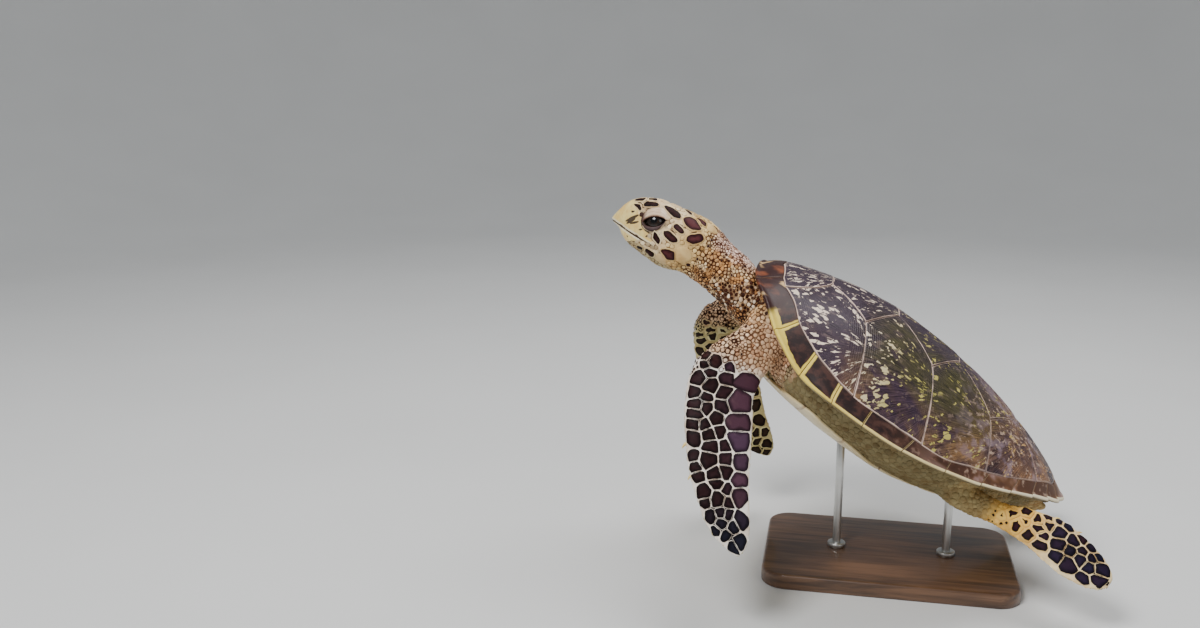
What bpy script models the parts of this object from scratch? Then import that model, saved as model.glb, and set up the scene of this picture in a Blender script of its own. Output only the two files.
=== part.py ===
"""Hawksbill sea turtle: a still, life-size model swimming upward on a plain display stand.

World frame: metres, +Z up, origin at the middle of the underside of the stand's base.
The turtle heads along -X with its nose up, and its left side faces -Y.

Body frame: origin halfway along the shell, on the straight line from the front edge of the
nuchal plate to the tail notch. x runs aft, y to the turtle's right, z up out of its back.
Lengths of the animal are given in shell lengths and multiplied by SHELL.
"""
import math

import bmesh
import bpy
import numpy as np
from mathutils import Matrix, Vector

# Driving dimensions, in metres and degrees
SHELL = 0.45              # straight carapace length
PITCH = 35.75             # nose-up angle of the shell
BODY_AT = (0.015, 0.0, 0.240)
GAP = 0.0003              # between pieces that touch
BASE = (0.300, 0.200, 0.018)
ROD_RADIUS = 0.005
ROD_AT = (-0.062, 0.070)  # x of the two rods
ROD_SUNK = 0.022          # how far each rod runs up into the body
ROD_DEPTH = 0.010         # how far each rod goes down into the base
ROD_SIDES = 14
OVERRUN = 0.010           # how far a boring tool runs past what it cuts
COLLAR = (0.011, 0.006)   # radius and height of the collars round the rods' feet
BASE_CORNER, BASE_EDGE = 0.030, 0.004   # radius of the base's corners, and of its upper edge

# The shell, in shell lengths
HALF_WIDTH = 0.388
ARCH = 0.130              # height of the back above the end-to-end line
SAG = 0.083               # drop of the side rims below that line
PLATE = 0.006             # thickness of a plate
RIM = 0.012               # thickness at the rim
SEAM = 0.0018             # gap between neighbouring plates
CLEAR = 0.0028            # hidden space under the plates
FLARE = 0.30              # how strongly the back flares near the rim
EDGE_ROUND = 0.35         # share of the rim's thickness rounded off above and below
TRUNK_EDGE = 0.93         # width of the trunk under the rim, as a share of the shell's
REAR_ROOM = 0.88          # station behind which the space under the plates doubles
SHELF, SHELF_IN = 0.010, 0.004    # depth and inset of the ledge under the rim
UNDER_RIM = 0.030         # how far below the rim the flank starts
BELLY_POWER, FLANK_POWER = 2.8, 0.62
FIRST_PULL = (.150, .125)  # control point of the first back plate's curved side

# Stations run from 0 at the front of the shell to 1 at the tail
WIDTH_AT = ((0, .01, .04, .08, .13, .20, .30, .40, .50, .60, .70, .80, .88, .94, .98, 1),
            (.154, .333, .513, .672, .800, .910, .987, 1, .974, .910, .795, .628, .449, .282, .154, .051))
RIDGE_AT = ((0, .03, .07, .16, .24, .30, .40, .50, .60, .70, .80, .90, .97, 1),
            (0, .25, .42, .66, .84, .92, 1, .99, .93, .81, .62, .36, .12, 0))
SAG_AT = ((0, .05, .12, .25, .45, .70, .90, 1), (0, .15, .55, 1, .95, .60, .15, 0))
BELLY_AT = ((.03, .10, .20, .35, .55, .70, .82, .90, .97),
            (.120, .182, .215, .216, .210, .190, .148, .105, .060))
FLANK_AT = ((.03, .10, .18, .27, .36, .50, .62, .72, .82, .90, .97),
            (.115, .155, .215, .285, .325, .330, .300, .230, .150, .095, .040))
TRUNK_AT = (.035, .065, .10, .14, .18, .23, .29, .36, .44, .52, .60, .67, .74, .80, .85, .895, .93, .965)
PLASTRON_AT = ((.10, .14, .20, .27, .34, .46, .54, .64, .72, .80, .85),
               (.050, .105, .160, .235, .280, .265, .205, .130, .095, .060, .020))

# Where the plates meet, as (station, distance from the midline)
NUCHAL_REAR, NUCHAL_CORNER, FIRST = (.046, 0), (.060, .115), (.074, .153)
BACK = [(.175, .055), (.361, .046), (.560, .038), (.775, .034)]   # ends of the seams across the back
KNEE = [(.288, .166), (.487, .162), (.686, .150)]                 # outer corners of plates 2 to 4
LAST = (.885, .129)
NUCHAL_SIDE = .010                                                # where the front plate meets the rim
FOOT = (.354, .555, .735)                                         # stations where the side seams end
INNER_AT = ((.074, .111, .149, .208, .268, .310, .388, .475, .609, .700, .780, .860, .920, .950, .957),
            (.153, .196, .249, .290, .320, .335, .346, .340, .321, .275, .224, .155, .088, .045, .0))
INNER_ALL = ((.030, .046, .060) + INNER_AT[0], (.0, .0, .115) + INNER_AT[1])
RIM_INNER = (.149, .225, .313, .409, .533, .640, .745, .832, .885, .924, .950)
RIM_OUTER = (.113, .219, .315, .405, .519, .636, .737, .822, .888, .938, .975)

COLOURS = {
    "carapace_horn": ((.070, .035, .028), .28, 0), "rim_horn": ((.62, .47, .16), .30, 0),
    "plastron_horn": ((.66, .52, .24), .35, 0), "turtle_skin": ((.30, .19, .12), .55, 0),
    "beak_horn": ((.72, .52, .20), .35, 0), "eye_black": ((.010, .010, .012), .05, 0),
    "base_wood": ((.115, .052, .026), .40, 0), "rod_steel": ((.60, .60, .58), .28, 1),
}


# ---- small tools ---------------------------------------------------------------------------
def clear_scene():
    for old in list(bpy.data.objects):
        bpy.data.objects.remove(old, do_unlink=True)


def material(name):
    found = bpy.data.materials.get(name)
    if found:
        return found
    colour, rough, metal = COLOURS[name]
    made = bpy.data.materials.new(name)
    made.use_nodes = True
    shader = made.node_tree.nodes["Principled BSDF"]
    shader.inputs["Base Color"].default_value = (*colour, 1)
    shader.inputs["Roughness"].default_value = rough
    shader.inputs["Metallic"].default_value = metal
    return made


def curve(at, table):
    """Smooth curve through the table's (places, values), with no overshoot between them."""
    x, y = (np.asarray(row, float) for row in table)
    step, rise = np.diff(x), np.diff(y) / np.diff(x)
    slope = np.concatenate([rise[:1], np.zeros(len(x) - 2), rise[-1:]])
    same = rise[:-1] * rise[1:] > 0
    a, b = 2 * step[1:] + step[:-1], step[1:] + 2 * step[:-1]
    with np.errstate(divide="ignore", invalid="ignore"):
        slope[1:-1] = np.where(same, (a + b) / (a / rise[:-1] + b / rise[1:]), 0)
    at = np.clip(np.asarray(at, float), x[0], x[-1])
    i = np.clip(np.searchsorted(x, at, side="right") - 1, 0, len(step) - 1)
    t = (at - x[i]) / step[i]
    return (y[i] * (1 + 2 * t) * (1 - t) ** 2 + y[i + 1] * t * t * (3 - 2 * t)
            + step[i] * t * (1 - t) * (slope[i] * (1 - t) - slope[i + 1] * t))


def unit(vectors):
    """The vectors at length one."""
    return vectors / np.maximum(np.linalg.norm(vectors, axis=-1, keepdims=True), 1e-9)


def add_object(name, points, faces, slot, parent=None, smooth=True):
    mesh = bpy.data.meshes.new(name)
    mesh.from_pydata([tuple(map(float, p)) for p in points], [], faces)
    bm = bmesh.new()
    bm.from_mesh(mesh)
    bmesh.ops.recalc_face_normals(bm, faces=bm.faces)
    bm.to_mesh(mesh)
    bm.free()
    mesh.materials.append(material(slot))
    if smooth:
        mesh.shade_smooth()
        mesh.set_sharp_from_angle(angle=math.radians(40))
    made = bpy.data.objects.new(name, mesh)
    bpy.context.scene.collection.objects.link(made)
    made.parent = parent
    return made


def loft(name, rings, slot, parent=None):
    """Closed solid through rings of equal point counts, capped at both ends."""
    count, around = len(rings), len(rings[0])
    faces = []
    for start in range(0, (count - 1) * around, around):
        for j in range(around):
            k = (j + 1) % around
            faces.append((start + j, start + k, start + around + k, start + around + j))
    faces += [tuple(range(around))[::-1], tuple((count - 1) * around + j for j in range(around))]
    return add_object(name, np.concatenate(rings), faces, slot, parent)


def slab(name, top, bottom, slot, parent=None):
    """Closed solid between two grids of points that match, such as a plate's two faces."""
    rows, cols = top.shape[:2]
    size = rows * cols
    quads = [(i * cols + j, i * cols + j + 1, (i + 1) * cols + j + 1, (i + 1) * cols + j)
             for i in range(rows - 1) for j in range(cols - 1)]
    faces = quads + [tuple(size + k for k in reversed(q)) for q in quads]
    edge = [j for j in range(cols)] + [i * cols + cols - 1 for i in range(1, rows)]
    edge += [(rows - 1) * cols + j for j in range(cols - 2, -1, -1)]
    edge += [i * cols for i in range(rows - 2, 0, -1)]
    faces += [(a, a + size, b + size, b) for a, b in zip(edge, edge[1:] + edge[:1])]
    points = np.concatenate([top.reshape(-1, 3), bottom.reshape(-1, 3)])
    return add_object(name, points, faces, slot, parent)


def apply_boolean(target, tool, operation):
    """Cuts or joins for good, and removes the tool."""
    step = target.modifiers.new("step", "BOOLEAN")
    step.operation, step.object, step.solver = operation, tool, "EXACT"
    bpy.context.view_layer.update()
    result = bpy.data.meshes.new_from_object(target.evaluated_get(bpy.context.evaluated_depsgraph_get()))
    target.modifiers.clear()
    target.data = result
    bpy.data.objects.remove(tool, do_unlink=True)


def cylinder(name, x, radius, low, high):
    """Upright steel cylinder with its axis over the point x of the floor's midline."""
    turn = np.arange(ROD_SIDES) * 2 * math.pi / ROD_SIDES
    across, along = x + radius * np.cos(turn), radius * np.sin(turn)
    rings = [np.stack([across, along, np.full(ROD_SIDES, z)], 1) for z in (low, high)]
    return loft(name, rings, "rod_steel")


# ---- the shell's surface -------------------------------------------------------------------
def half_width(s):
    return HALF_WIDTH * curve(s, WIDTH_AT)


def rim_height(s):
    return -SAG * curve(s, SAG_AT)


def back_height(s, y):
    """Height of the shell's outer face: an arch that flares a little near the rim."""
    q = np.clip(np.abs(y) / half_width(s), 0, 1)
    arch = 1 - q ** 2 - FLARE * q ** 6 * (1 - q ** 6)
    return rim_height(s) + (ARCH * curve(s, RIDGE_AT) - rim_height(s)) * arch


def on_back(plan, drop=0.0):
    """Points of the shell's face, in metres, from (station, offset) pairs of any array shape."""
    s, y = plan[..., 0], plan[..., 1]
    return SHELL * np.stack([s - 0.5, y, back_height(s, y) - drop], -1)


def inner_line(s_from, s_to, count):
    """Plan points of the seam between the rim plates and the rest, on the right side."""
    s = np.linspace(s_from, s_to, count)
    return np.stack([s, curve(s, INNER_AT)], 1)


def outline(s_from, s_to, count):
    s = np.linspace(s_from, s_to, count)
    return np.stack([s, half_width(s)], 1)


def polyline(corners, count):
    """Points evenly spaced along straight runs, with each corner kept."""
    corners = np.asarray(corners, float)
    runs = len(corners) - 1
    each = (count - 1) // runs
    pieces = [corners[i] + np.linspace(0, 1, each, endpoint=False)[:, None] * (corners[i + 1] - corners[i])
              for i in range(runs)]
    return np.concatenate(pieces + [corners[-1:]])


def patch(top, bottom, left, right):
    """Coons patch between four plan curves: top and bottom run left to right, the others down."""
    u = np.linspace(0, 1, len(top))[None, :, None]
    v = np.linspace(0, 1, len(left))[:, None, None]
    across = (1 - v) * top[None] + v * bottom[None]
    down = (1 - u) * left[:, None] + u * right[:, None]
    corners = ((1 - v) * ((1 - u) * top[0] + u * top[-1]) + v * ((1 - u) * bottom[0] + u * bottom[-1]))
    return across + down - corners


def shrink(plan):
    """Moves a patch's edge inward by half the seam."""
    out = plan.copy()
    for side, inner in ((0, 1), (-1, -2)):
        out[side] += SEAM / 2 * unit(plan[inner] - plan[side])
        out[:, side] += SEAM / 2 * unit(plan[:, inner] - plan[:, side])
    return out


def sided(plan, side):
    """The patch as it is on the right (side 1), or mirrored to the left (side -1)."""
    return plan * np.array([1, side])


def plate(name, plan, body):
    plan = shrink(plan)
    slab(name, on_back(plan), on_back(plan, PLATE), "carapace_horn", body)


def rim_plate(name, inner, outer, body, slot="rim_horn"):
    """A plate of the shell's edge: thin inside, thicker outside, with a rounded outer edge."""
    reach = np.array([.03, .35, .7, .93, 1])[None, :, None]
    plan = shrink(inner[:, None] * (1 - reach) + outer[:, None] * reach)
    thick = PLATE + (RIM - PLATE) * reach[0, :, 0]
    top, bottom = on_back(plan), on_back(plan)
    bottom[..., 2] -= SHELL * thick
    top[:, -1, 2] -= SHELL * RIM * EDGE_ROUND
    bottom[:, -1, 2] += SHELL * RIM * EDGE_ROUND
    slab(name, top, bottom, slot, body)


# ---- the shell's plates --------------------------------------------------------------------
def mirrored(run):
    """The run of plan points on the other side of the midline."""
    return np.asarray(run) * np.array([1, -1])


def across(at, count=7):
    """Seam across the back between a point and its mirror image."""
    return polyline([(at[0], -at[1]), at], count)


def back_plates(body):
    """The five plates along the back."""
    half = polyline([NUCHAL_REAR, NUCHAL_CORNER, FIRST], 5)
    front = np.concatenate([mirrored(half)[::-1], half[1:]])
    side = first_seam(6)
    plate("vertebral_scute_1", patch(front, across(BACK[0], 9), mirrored(side), side), body)
    for i in range(3):
        side = polyline([BACK[i], KNEE[i], BACK[i + 1]], 9)
        plan = patch(across(BACK[i]), across(BACK[i + 1]), mirrored(side), side)
        plate(f"vertebral_scute_{i + 2}", plan, body)
    side = polyline([BACK[3], LAST], 6)
    half = inner_line(LAST[0], INNER_AT[0][-1], 5)[::-1]
    rear = np.concatenate([mirrored(half)[::-1], half[1:]])
    plate("vertebral_scute_5", patch(across(BACK[3], 9), rear, mirrored(side), side), body)


def first_seam(count):
    """Curved seam between the first back plate and the first side plate."""
    t = np.linspace(0, 1, count)[:, None]
    start, end, pull = np.array(FIRST), np.array(BACK[0]), np.array(FIRST_PULL)
    return (1 - t) ** 2 * start + 2 * t * (1 - t) * pull + t ** 2 * end


def side_plates(body):
    """The four plates on each side."""
    for side, word in ((-1, "left"), (1, "right")):
        feet = [(s, float(curve(s, INNER_AT))) for s in FOOT]
        seams = [polyline([KNEE[i], feet[i]], 6) for i in range(3)]
        seams = [first_seam(6)[::-1], *seams, polyline([BACK[3], LAST], 6)]
        uppers = [[BACK[0], KNEE[0]], [KNEE[0], BACK[1], KNEE[1]], [KNEE[1], BACK[2], KNEE[2]],
                  [KNEE[2], BACK[3]]]
        ends = [FIRST[0], *FOOT, LAST[0]]
        for i in range(4):
            count = 6 if i in (0, 3) else 9
            upper, lower = polyline(uppers[i], count), inner_line(ends[i], ends[i + 1], count)
            plan = patch(upper, lower, seams[i], seams[i + 1])
            plate(f"costal_scute_{word}_{i + 1}", sided(plan, side), body)


def rim_plates(body):
    """The nuchal plate in front, then eleven plates and a tail plate down each side."""
    corner = outline(NUCHAL_SIDE, .0, 3)
    front = np.concatenate([corner[:-1] * [1, -1], [(0, -.06), (0, 0), (0, .06)], corner[:-1][::-1]])
    half = polyline([NUCHAL_REAR, NUCHAL_CORNER], 4)
    rear = np.concatenate([mirrored(half)[::-1], half[1:]])
    rim_plate("nuchal_scute", rear, front, body)
    for side, word in ((-1, "left"), (1, "right")):
        inner_ends, outer_ends = (FIRST[0], *RIM_INNER, INNER_AT[0][-1]), (NUCHAL_SIDE, *RIM_OUTER, 1.0)
        for i in range(12):
            inner = inner_line(inner_ends[i], inner_ends[i + 1], 3)
            outer = outline(outer_ends[i], outer_ends[i + 1], 3)
            if i == 0:
                inner = np.concatenate([[NUCHAL_CORNER], inner])
                outer = outline(outer_ends[0], outer_ends[1], 4)
            if i == 11:
                outer = np.concatenate([outer, [(1.0, 0)]])
                inner = inner_line(inner_ends[i], inner_ends[i + 1], 4)
            name = f"marginal_scute_{word}_{i + 1}" if i < 11 else f"supracaudal_scute_{word}"
            rim_plate(name, sided(inner, side), sided(outer, side), body)


# ---- the body ------------------------------------------------------------------------------
def under_height(s, y):
    """Height of the trunk's lower face, from the belly out to the flank."""
    edge = rim_height(s) - UNDER_RIM
    reach = np.clip(np.abs(y) / curve(s, FLANK_AT), 0, 1)
    return edge + (-curve(s, BELLY_AT) - edge) * (1 - reach ** BELLY_POWER) ** FLANK_POWER


def trunk_ring(s):
    """One cross section: the back under the plates, a shelf under the rim, flank and belly."""
    edge = TRUNK_EDGE * float(half_width(s))
    flank = min(float(curve(s, FLANK_AT)), edge * .96)
    top = edge * np.array([0, .30, .57, .78, .90, 1])
    inner = float(curve(s, INNER_ALL))
    reach = np.clip((top - inner) / (edge - inner), 0, 1)
    cover = PLATE + CLEAR * (2 if s > REAR_ROOM else 1) + (RIM - PLATE + .001) * reach ** .7
    upper = np.stack([top, back_height(s, top) - cover], 1)
    shelf = np.array([[edge - SHELF_IN, upper[-1, 1] - SHELF]])
    low = flank * np.array([1, .96, .84, .62, .33, 0])
    lower = np.stack([low, under_height(s, low)], 1)
    lower[0, 1] = min(lower[0, 1], shelf[0, 1] - .001)
    half = np.concatenate([upper, shelf, lower])
    whole = np.concatenate([half, half[-2:0:-1] * [-1, 1]])
    return SHELL * np.column_stack([np.full(len(whole), s - .5), whole])


def trunk(body):
    return loft("trunk", [trunk_ring(s) for s in TRUNK_AT], "turtle_skin", body)


def plastron(body):
    """The belly plate, reaching up the sides to the rim as the bridge."""
    s = np.array([station for station in TRUNK_AT if PLASTRON_AT[0][0] <= station <= PLASTRON_AT[0][-1]])
    across = np.array([-1, -.90, -.70, -.38, 0, .38, .70, .90, 1])
    y = curve(s, PLASTRON_AT)[:, None] * across
    s = np.broadcast_to(s[:, None], y.shape)
    grid = np.stack([s - .5, y, under_height(s, y)], -1)
    out = np.gradient(grid, axis=0), np.gradient(grid, axis=1)
    normal = np.cross(out[0], out[1])
    normal /= np.linalg.norm(normal, axis=-1, keepdims=True)
    normal *= np.where(normal[..., 2:] > 0, -1, 1)
    inner, outer = SHELL * (grid + normal * CLEAR), SHELL * (grid + normal * (CLEAR + PLATE))
    return slab("plastron", inner, outer, "plastron_horn", body)


def ellipse_ring(x, low, high, half, count):
    """Ellipse across the body at x, from height low to height high."""
    turn = np.arange(count) * 2 * math.pi / count
    tall = (high + low) / 2 + (high - low) / 2 * np.sin(turn)
    return SHELL * np.column_stack([np.full(count, x), half * np.cos(turn), tall])


NECK_AT = (-.635, -.60, -.565, -.53, -.50, -.46, -.42, -.38)
NECK_TOP = (.010, .000, -.003, -.006, -.017, -.024, -.030, -.040)
NECK_LOW = (-.142, -.139, -.141, -.145, -.152, -.160, -.160, -.150)
NECK_HALF = (.078, .077, .080, .088, .100, .112, .112, .100)
NECK_CUT = 4


def neck(trunk_body, body):
    rings = [ellipse_ring(*row, 18) for row in zip(NECK_AT, NECK_LOW, NECK_TOP, NECK_HALF)]
    free = [ring.copy() for ring in rings[:NECK_CUT + 1]]
    free[-1][:, 0] -= GAP
    loft("neck", free, "turtle_skin", body)
    apply_boolean(trunk_body, loft("neck_root", rings[NECK_CUT:], "turtle_skin", body), "UNION")


# ---- the head ------------------------------------------------------------------------------
HEAD_AT = (-.8995, -.8965, -.890, -.880, -.866, -.850, -.830, -.810, -.790, -.765, -.740, -.710,
           -.680, -.655)
HEAD_TOP = ((-.8995, -.8954, -.884, -.870, -.841, -.822, -.766, -.708, -.660, -.635),
            (-.1440, -.1075, -.0714, -.0540, -.0321, -.0211, -.0056, .0077, .0140, .0100))
HEAD_LOW = ((-.8995, -.885, -.868, -.860, -.845, -.810, -.770, -.730, -.690, -.635),
            (-.1455, -.1480, -.1500, -.1540, -.1630, -.1700, -.1695, -.1686, -.1575, -.1420))
HEAD_HALF = ((-.8995, -.895, -.885, -.860, -.830, -.795, -.760, -.720, -.680, -.635),
             (.003, .010, .0190, .0340, .0480, .0600, .0705, .0800, .0830, .0780))
HEAD_WAIST = -.105        # height at which the head is widest
MOUTH = -.1455            # height of the mouth line
JAW_CORNER = -.727
BEAK_TOP = (-.882, -.066)  # where the beak's sheath ends on the brow
JAW_BACK = (-.775, -.815)  # where the lower sheath ends, at the mouth and at the chin
FACE = (-.95, -.20)       # a place ahead of the face and below the chin
EYE_AT = (-.791, .0325, -.072)
EYE_RADIUS = .0300
SHEATH_HEEL = .001        # height of the sheath where it starts at the jaw corner, in metres
CUT_HALF = .12            # half width of the blocks that cut the head, in metres
BROAD, TALL = .85, .80    # how square the head's section is: 1 for an ellipse
HEAD_BOX = .1640          # height of the widest section, for placing the waist
HEAD_FLOOR = -.1700


def head_ring(x, count=18):
    """Section of the head: flat-topped and narrower above, round-cheeked below."""
    high, low, half = (float(curve(x, table)) for table in (HEAD_TOP, HEAD_LOW, HEAD_HALF))
    waist = low + (high - low) * (HEAD_WAIST - HEAD_FLOOR) / HEAD_BOX
    turn = np.arange(count) * 2 * math.pi / count
    cos, sin = np.cos(turn), np.sin(turn)
    wide = half * np.sign(cos) * np.abs(cos) ** BROAD
    tall = np.where(sin > 0, high - waist, low - waist) * np.abs(sin) ** TALL
    return SHELL * np.column_stack([np.full(count, x), wide, waist + tall])


def head(body):
    rings = [head_ring(x) for x in HEAD_AT]
    rings.append(ellipse_ring(NECK_AT[0], NECK_LOW[0], NECK_TOP[0], NECK_HALF[0], 18))
    rings[-1][:, 0] -= GAP
    whole = loft("head", rings, "turtle_skin", body)
    upper, lower = loft("beak_upper", rings, "beak_horn", body), loft("beak_lower", rings, "beak_horn", body)
    apply_boolean(upper, sheath_wedge(0), "INTERSECT")
    apply_boolean(lower, jaw_block(0), "INTERSECT")
    apply_boolean(whole, sheath_wedge(GAP), "DIFFERENCE")
    apply_boolean(whole, jaw_block(GAP), "DIFFERENCE")
    for side, word in ((-1, "left"), (1, "right")):
        eye("eye_" + word, side, EYE_RADIUS * SHELL, body)
        apply_boolean(whole, eye("socket", side, EYE_RADIUS * SHELL + GAP, body), "DIFFERENCE")


def sheath_wedge(grow):
    """Wedge that bounds the upper beak: the mouth line below, the slanting edge of its sheath above."""
    low, back = MOUTH * SHELL - grow, JAW_CORNER * SHELL + 2 * grow
    high, brow, front = BEAK_TOP[1] * SHELL + grow, BEAK_TOP[0] * SHELL, FACE[0] * SHELL
    corners = [(back, low), (back, low + SHEATH_HEEL + grow), (brow, high), (front, high), (front, low)]
    return prism("wedge", corners)


def jaw_block(grow):
    """Block that bounds the lower beak: under the mouth line, in front of the chin's skin."""
    high = MOUTH * SHELL - GAP + grow
    back_top, back_low = (SHELL * x + grow for x in JAW_BACK)
    front, low = SHELL * FACE[0], SHELL * FACE[1]
    return prism("jaw_block", [(back_top, high), (back_low, low), (front, low), (front, high)])


def prism(name, corners):
    """Block with the given outline seen from the side, wider than the head."""
    points = [(x, y, z) for y in (-CUT_HALF, CUT_HALF) for x, z in corners]
    count = len(corners)
    faces = [(i, (i + 1) % count, (i + 1) % count + count, i + count) for i in range(count)]
    faces += [tuple(range(count)), tuple(range(2 * count - 1, count - 1, -1))]
    return add_object(name, points, faces, "beak_horn", bpy.data.objects["body_frame"], smooth=False)


def eye(name, side, radius, body):
    bm = bmesh.new()
    bmesh.ops.create_uvsphere(bm, u_segments=12, v_segments=7, radius=radius)
    mesh = bpy.data.meshes.new(name)
    bm.to_mesh(mesh)
    bm.free()
    mesh.materials.append(material("eye_black"))
    mesh.shade_smooth()
    made = bpy.data.objects.new(name, mesh)
    bpy.context.scene.collection.objects.link(made)
    made.parent = body
    made.location = SHELL * Vector((EYE_AT[0], side * EYE_AT[1], EYE_AT[2]))
    made.rotation_euler = (math.pi / 2, 0, 0)
    bpy.context.view_layer.update()
    return made


# ---- the limbs and tail --------------------------------------------------------------------
# Each limb lies along a span direction, with its chord from trailing (-) to leading (+) edge.
# Rows: span, trailing edge, leading edge, thickness, lift off the limb's plane.
FRONT_LIMB = ((-.12, -.080, .020, .090, 0), (-.06, -.085, .060, .100, 0), (-.02, -.060, .125, .095, .002),
              (.02, -.035, .170, .082, .003), (.055, -.008, .187, .066, .003), (.09, .014, .196, .053, .002),
              (.13, .027, .202, .045, 0), (.185, .033, .206, .038, -.003), (.25, .040, .202, .031, -.006),
              (.32, .047, .192, .026, -.007), (.375, .050, .177, .022, -.005), (.435, .050, .155, .018, 0),
              (.475, .055, .126, .014, .005), (.498, .068, .100, .010, .008), (.507, .078, .088, .007, .009))
FRONT_CUT = .05
HIND_LIMB = ((-.12, -.030, .030, .050, 0), (-.06, -.042, .034, .062, 0), (.01, -.034, .034, .056, 0),
             (.05, -.026, .040, .044, 0), (.09, -.030, .062, .034, 0), (.14, -.038, .078, .027, .001),
             (.19, -.048, .083, .023, .002), (.24, -.058, .073, .019, .003), (.29, -.055, .056, .015, .003),
             (.325, -.040, .036, .012, .002), (.342, -.022, .014, .008, .001))
HIND_CUT = .02
# Where each limb starts, which way it reaches and, for the front pair, which way its leading
# edge faces
LEFT_FRONT = (-.370, -.235, -.130), (.582, -.528, -.618), (-.794, -.208, -.571)
RIGHT_FRONT = (-.449, .225, -.147), (.781, .186, -.596), (-.600, -.100, -.794)
RIGHT_START, SHOULDER_END = -.02, -.03
LEFT_HIND = (.300, -.200, -.112), (.932, -.301, .201)
RIGHT_HIND = (.300, .200, -.112), (.840, .500, .140)
HIND_LEAD, HIND_TWIST = (-.111, -.291, .950), 30   # leading edge before its twist in degrees
# The tail's stations along x, half widths and upper heights
TAIL = ((.400, .430, .455, .472, .485, .497), (.040, .034, .028, .022, .014, .004),
        (-.052, -.048, -.046, -.046, -.048, -.053))
TAIL_DEPTH = 1.7          # height of the tail's section over its half width
BLADE_POWER, BLADE_LEAD = .8, .25                  # how full a limb's section is, and its lead


def limb_rings(rows, pose, start, end, count, around=12):
    """Cross sections of a limb: a rounded blade, fuller towards its leading edge."""
    origin, span, chord = (np.array(v, float) for v in pose)
    span /= np.linalg.norm(span)
    chord -= (chord @ span) * span
    chord /= np.linalg.norm(chord)
    table = np.array(rows).T
    reach = np.linspace(start, end, count)
    trail, lead, thick, lift = (curve(reach, (table[0], table[k])) for k in (1, 2, 3, 4))
    out = np.cross(span, chord)
    turn = np.arange(around) * 2 * math.pi / around
    rings = []
    for i in range(count):
        across = (trail[i] + lead[i]) / 2 + (lead[i] - trail[i]) / 2 * np.cos(turn)
        full = np.sign(np.sin(turn)) * np.abs(np.sin(turn)) ** BLADE_POWER * (1 + BLADE_LEAD * np.cos(turn))
        above = lift[i] + thick[i] / 2 * full
        rings.append(SHELL * (origin + reach[i] * span + across[:, None] * chord + above[:, None] * out))
    return rings


def limb(name, rows, pose, start, cut, trunk_body, body):
    """Splits a limb at its cut: the root joins the trunk, the rest is the limb itself."""
    loft(name, limb_rings(rows, pose, cut + GAP / 2 / SHELL, rows[-1][0], 12), "turtle_skin", body)
    inside = limb_rings(rows, pose, start, cut - GAP / 2 / SHELL, 3)
    apply_boolean(trunk_body, loft("root", inside, "turtle_skin", body), "UNION")


def turned(vector, axis, degrees):
    return np.array(Matrix.Rotation(math.radians(degrees), 3, Vector(axis)) @ Vector(vector))


def limbs(trunk_body, body):
    limb("flipper_front_left", FRONT_LIMB, LEFT_FRONT, FRONT_LIMB[0][0], FRONT_CUT, trunk_body, body)
    right_shoulder = np.array(LEFT_FRONT) * (1, -1, 1)
    inside = limb_rings(FRONT_LIMB, right_shoulder, FRONT_LIMB[0][0], SHOULDER_END, 3)
    apply_boolean(trunk_body, loft("shoulder", inside, "turtle_skin", body), "UNION")
    limb("flipper_front_right", FRONT_LIMB, RIGHT_FRONT, RIGHT_START, FRONT_CUT, trunk_body, body)
    for word, (origin, span), side in (("left", LEFT_HIND, -1), ("right", RIGHT_HIND, 1)):
        lead = (HIND_LEAD[0], HIND_LEAD[1] * side, HIND_LEAD[2])
        pose = origin, span, turned(lead, span, HIND_TWIST * side)
        limb("flipper_hind_" + word, HIND_LIMB, pose, HIND_LIMB[0][0], HIND_CUT, trunk_body, body)


def tail(trunk_body, body):
    rings = [ellipse_ring(x, top - TAIL_DEPTH * r, top, r, 14) for x, r, top in zip(*TAIL)]
    free = [ring.copy() for ring in rings[3:]]
    free[0][:, 0] += GAP
    loft("tail", free, "turtle_skin", body)
    apply_boolean(trunk_body, loft("tail_root", rings[:4], "turtle_skin", body), "UNION")


# ---- the stand -----------------------------------------------------------------------------
def stand(trunk_body, belly):
    """A flat wooden base, and two steel rods that run up through the belly plate into the body."""
    base = rounded_base()
    for x, word in zip(ROD_AT, ("front", "rear")):
        top = belly_height(x) + ROD_SUNK
        foot = BASE[2] - ROD_DEPTH
        cylinder("stand_rod_" + word, x, ROD_RADIUS, foot, top)
        collar = cylinder("stand_collar_" + word, x, COLLAR[0], BASE[2] + GAP, BASE[2] + COLLAR[1])
        bore(base, x, foot - GAP, BASE[2] + OVERRUN)
        bore(collar, x, BASE[2] - OVERRUN, BASE[2] + 2 * OVERRUN)
        for piece in (trunk_body, belly):
            bore(piece, x, BASE[2] + 2 * OVERRUN, top + GAP)


def bore(piece, x, low, high):
    """Upright hole for a rod, with a gap all round it."""
    apply_boolean(piece, cylinder("hole", x, ROD_RADIUS + GAP, low, high), "DIFFERENCE")


def belly_height(x):
    """World height of the belly plate's lower face above the point x of the floor's midline."""
    pitch = math.radians(PITCH)
    s = np.linspace(.12, .86, 300)
    low = np.stack([SHELL * (s - .5), SHELL * (under_height(s, s * 0) - CLEAR - PLATE)])
    world_x = BODY_AT[0] + math.cos(pitch) * low[0] + math.sin(pitch) * low[1]
    world_z = BODY_AT[2] - math.sin(pitch) * low[0] + math.cos(pitch) * low[1]
    return float(np.interp(x, world_x, world_z))


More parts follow.
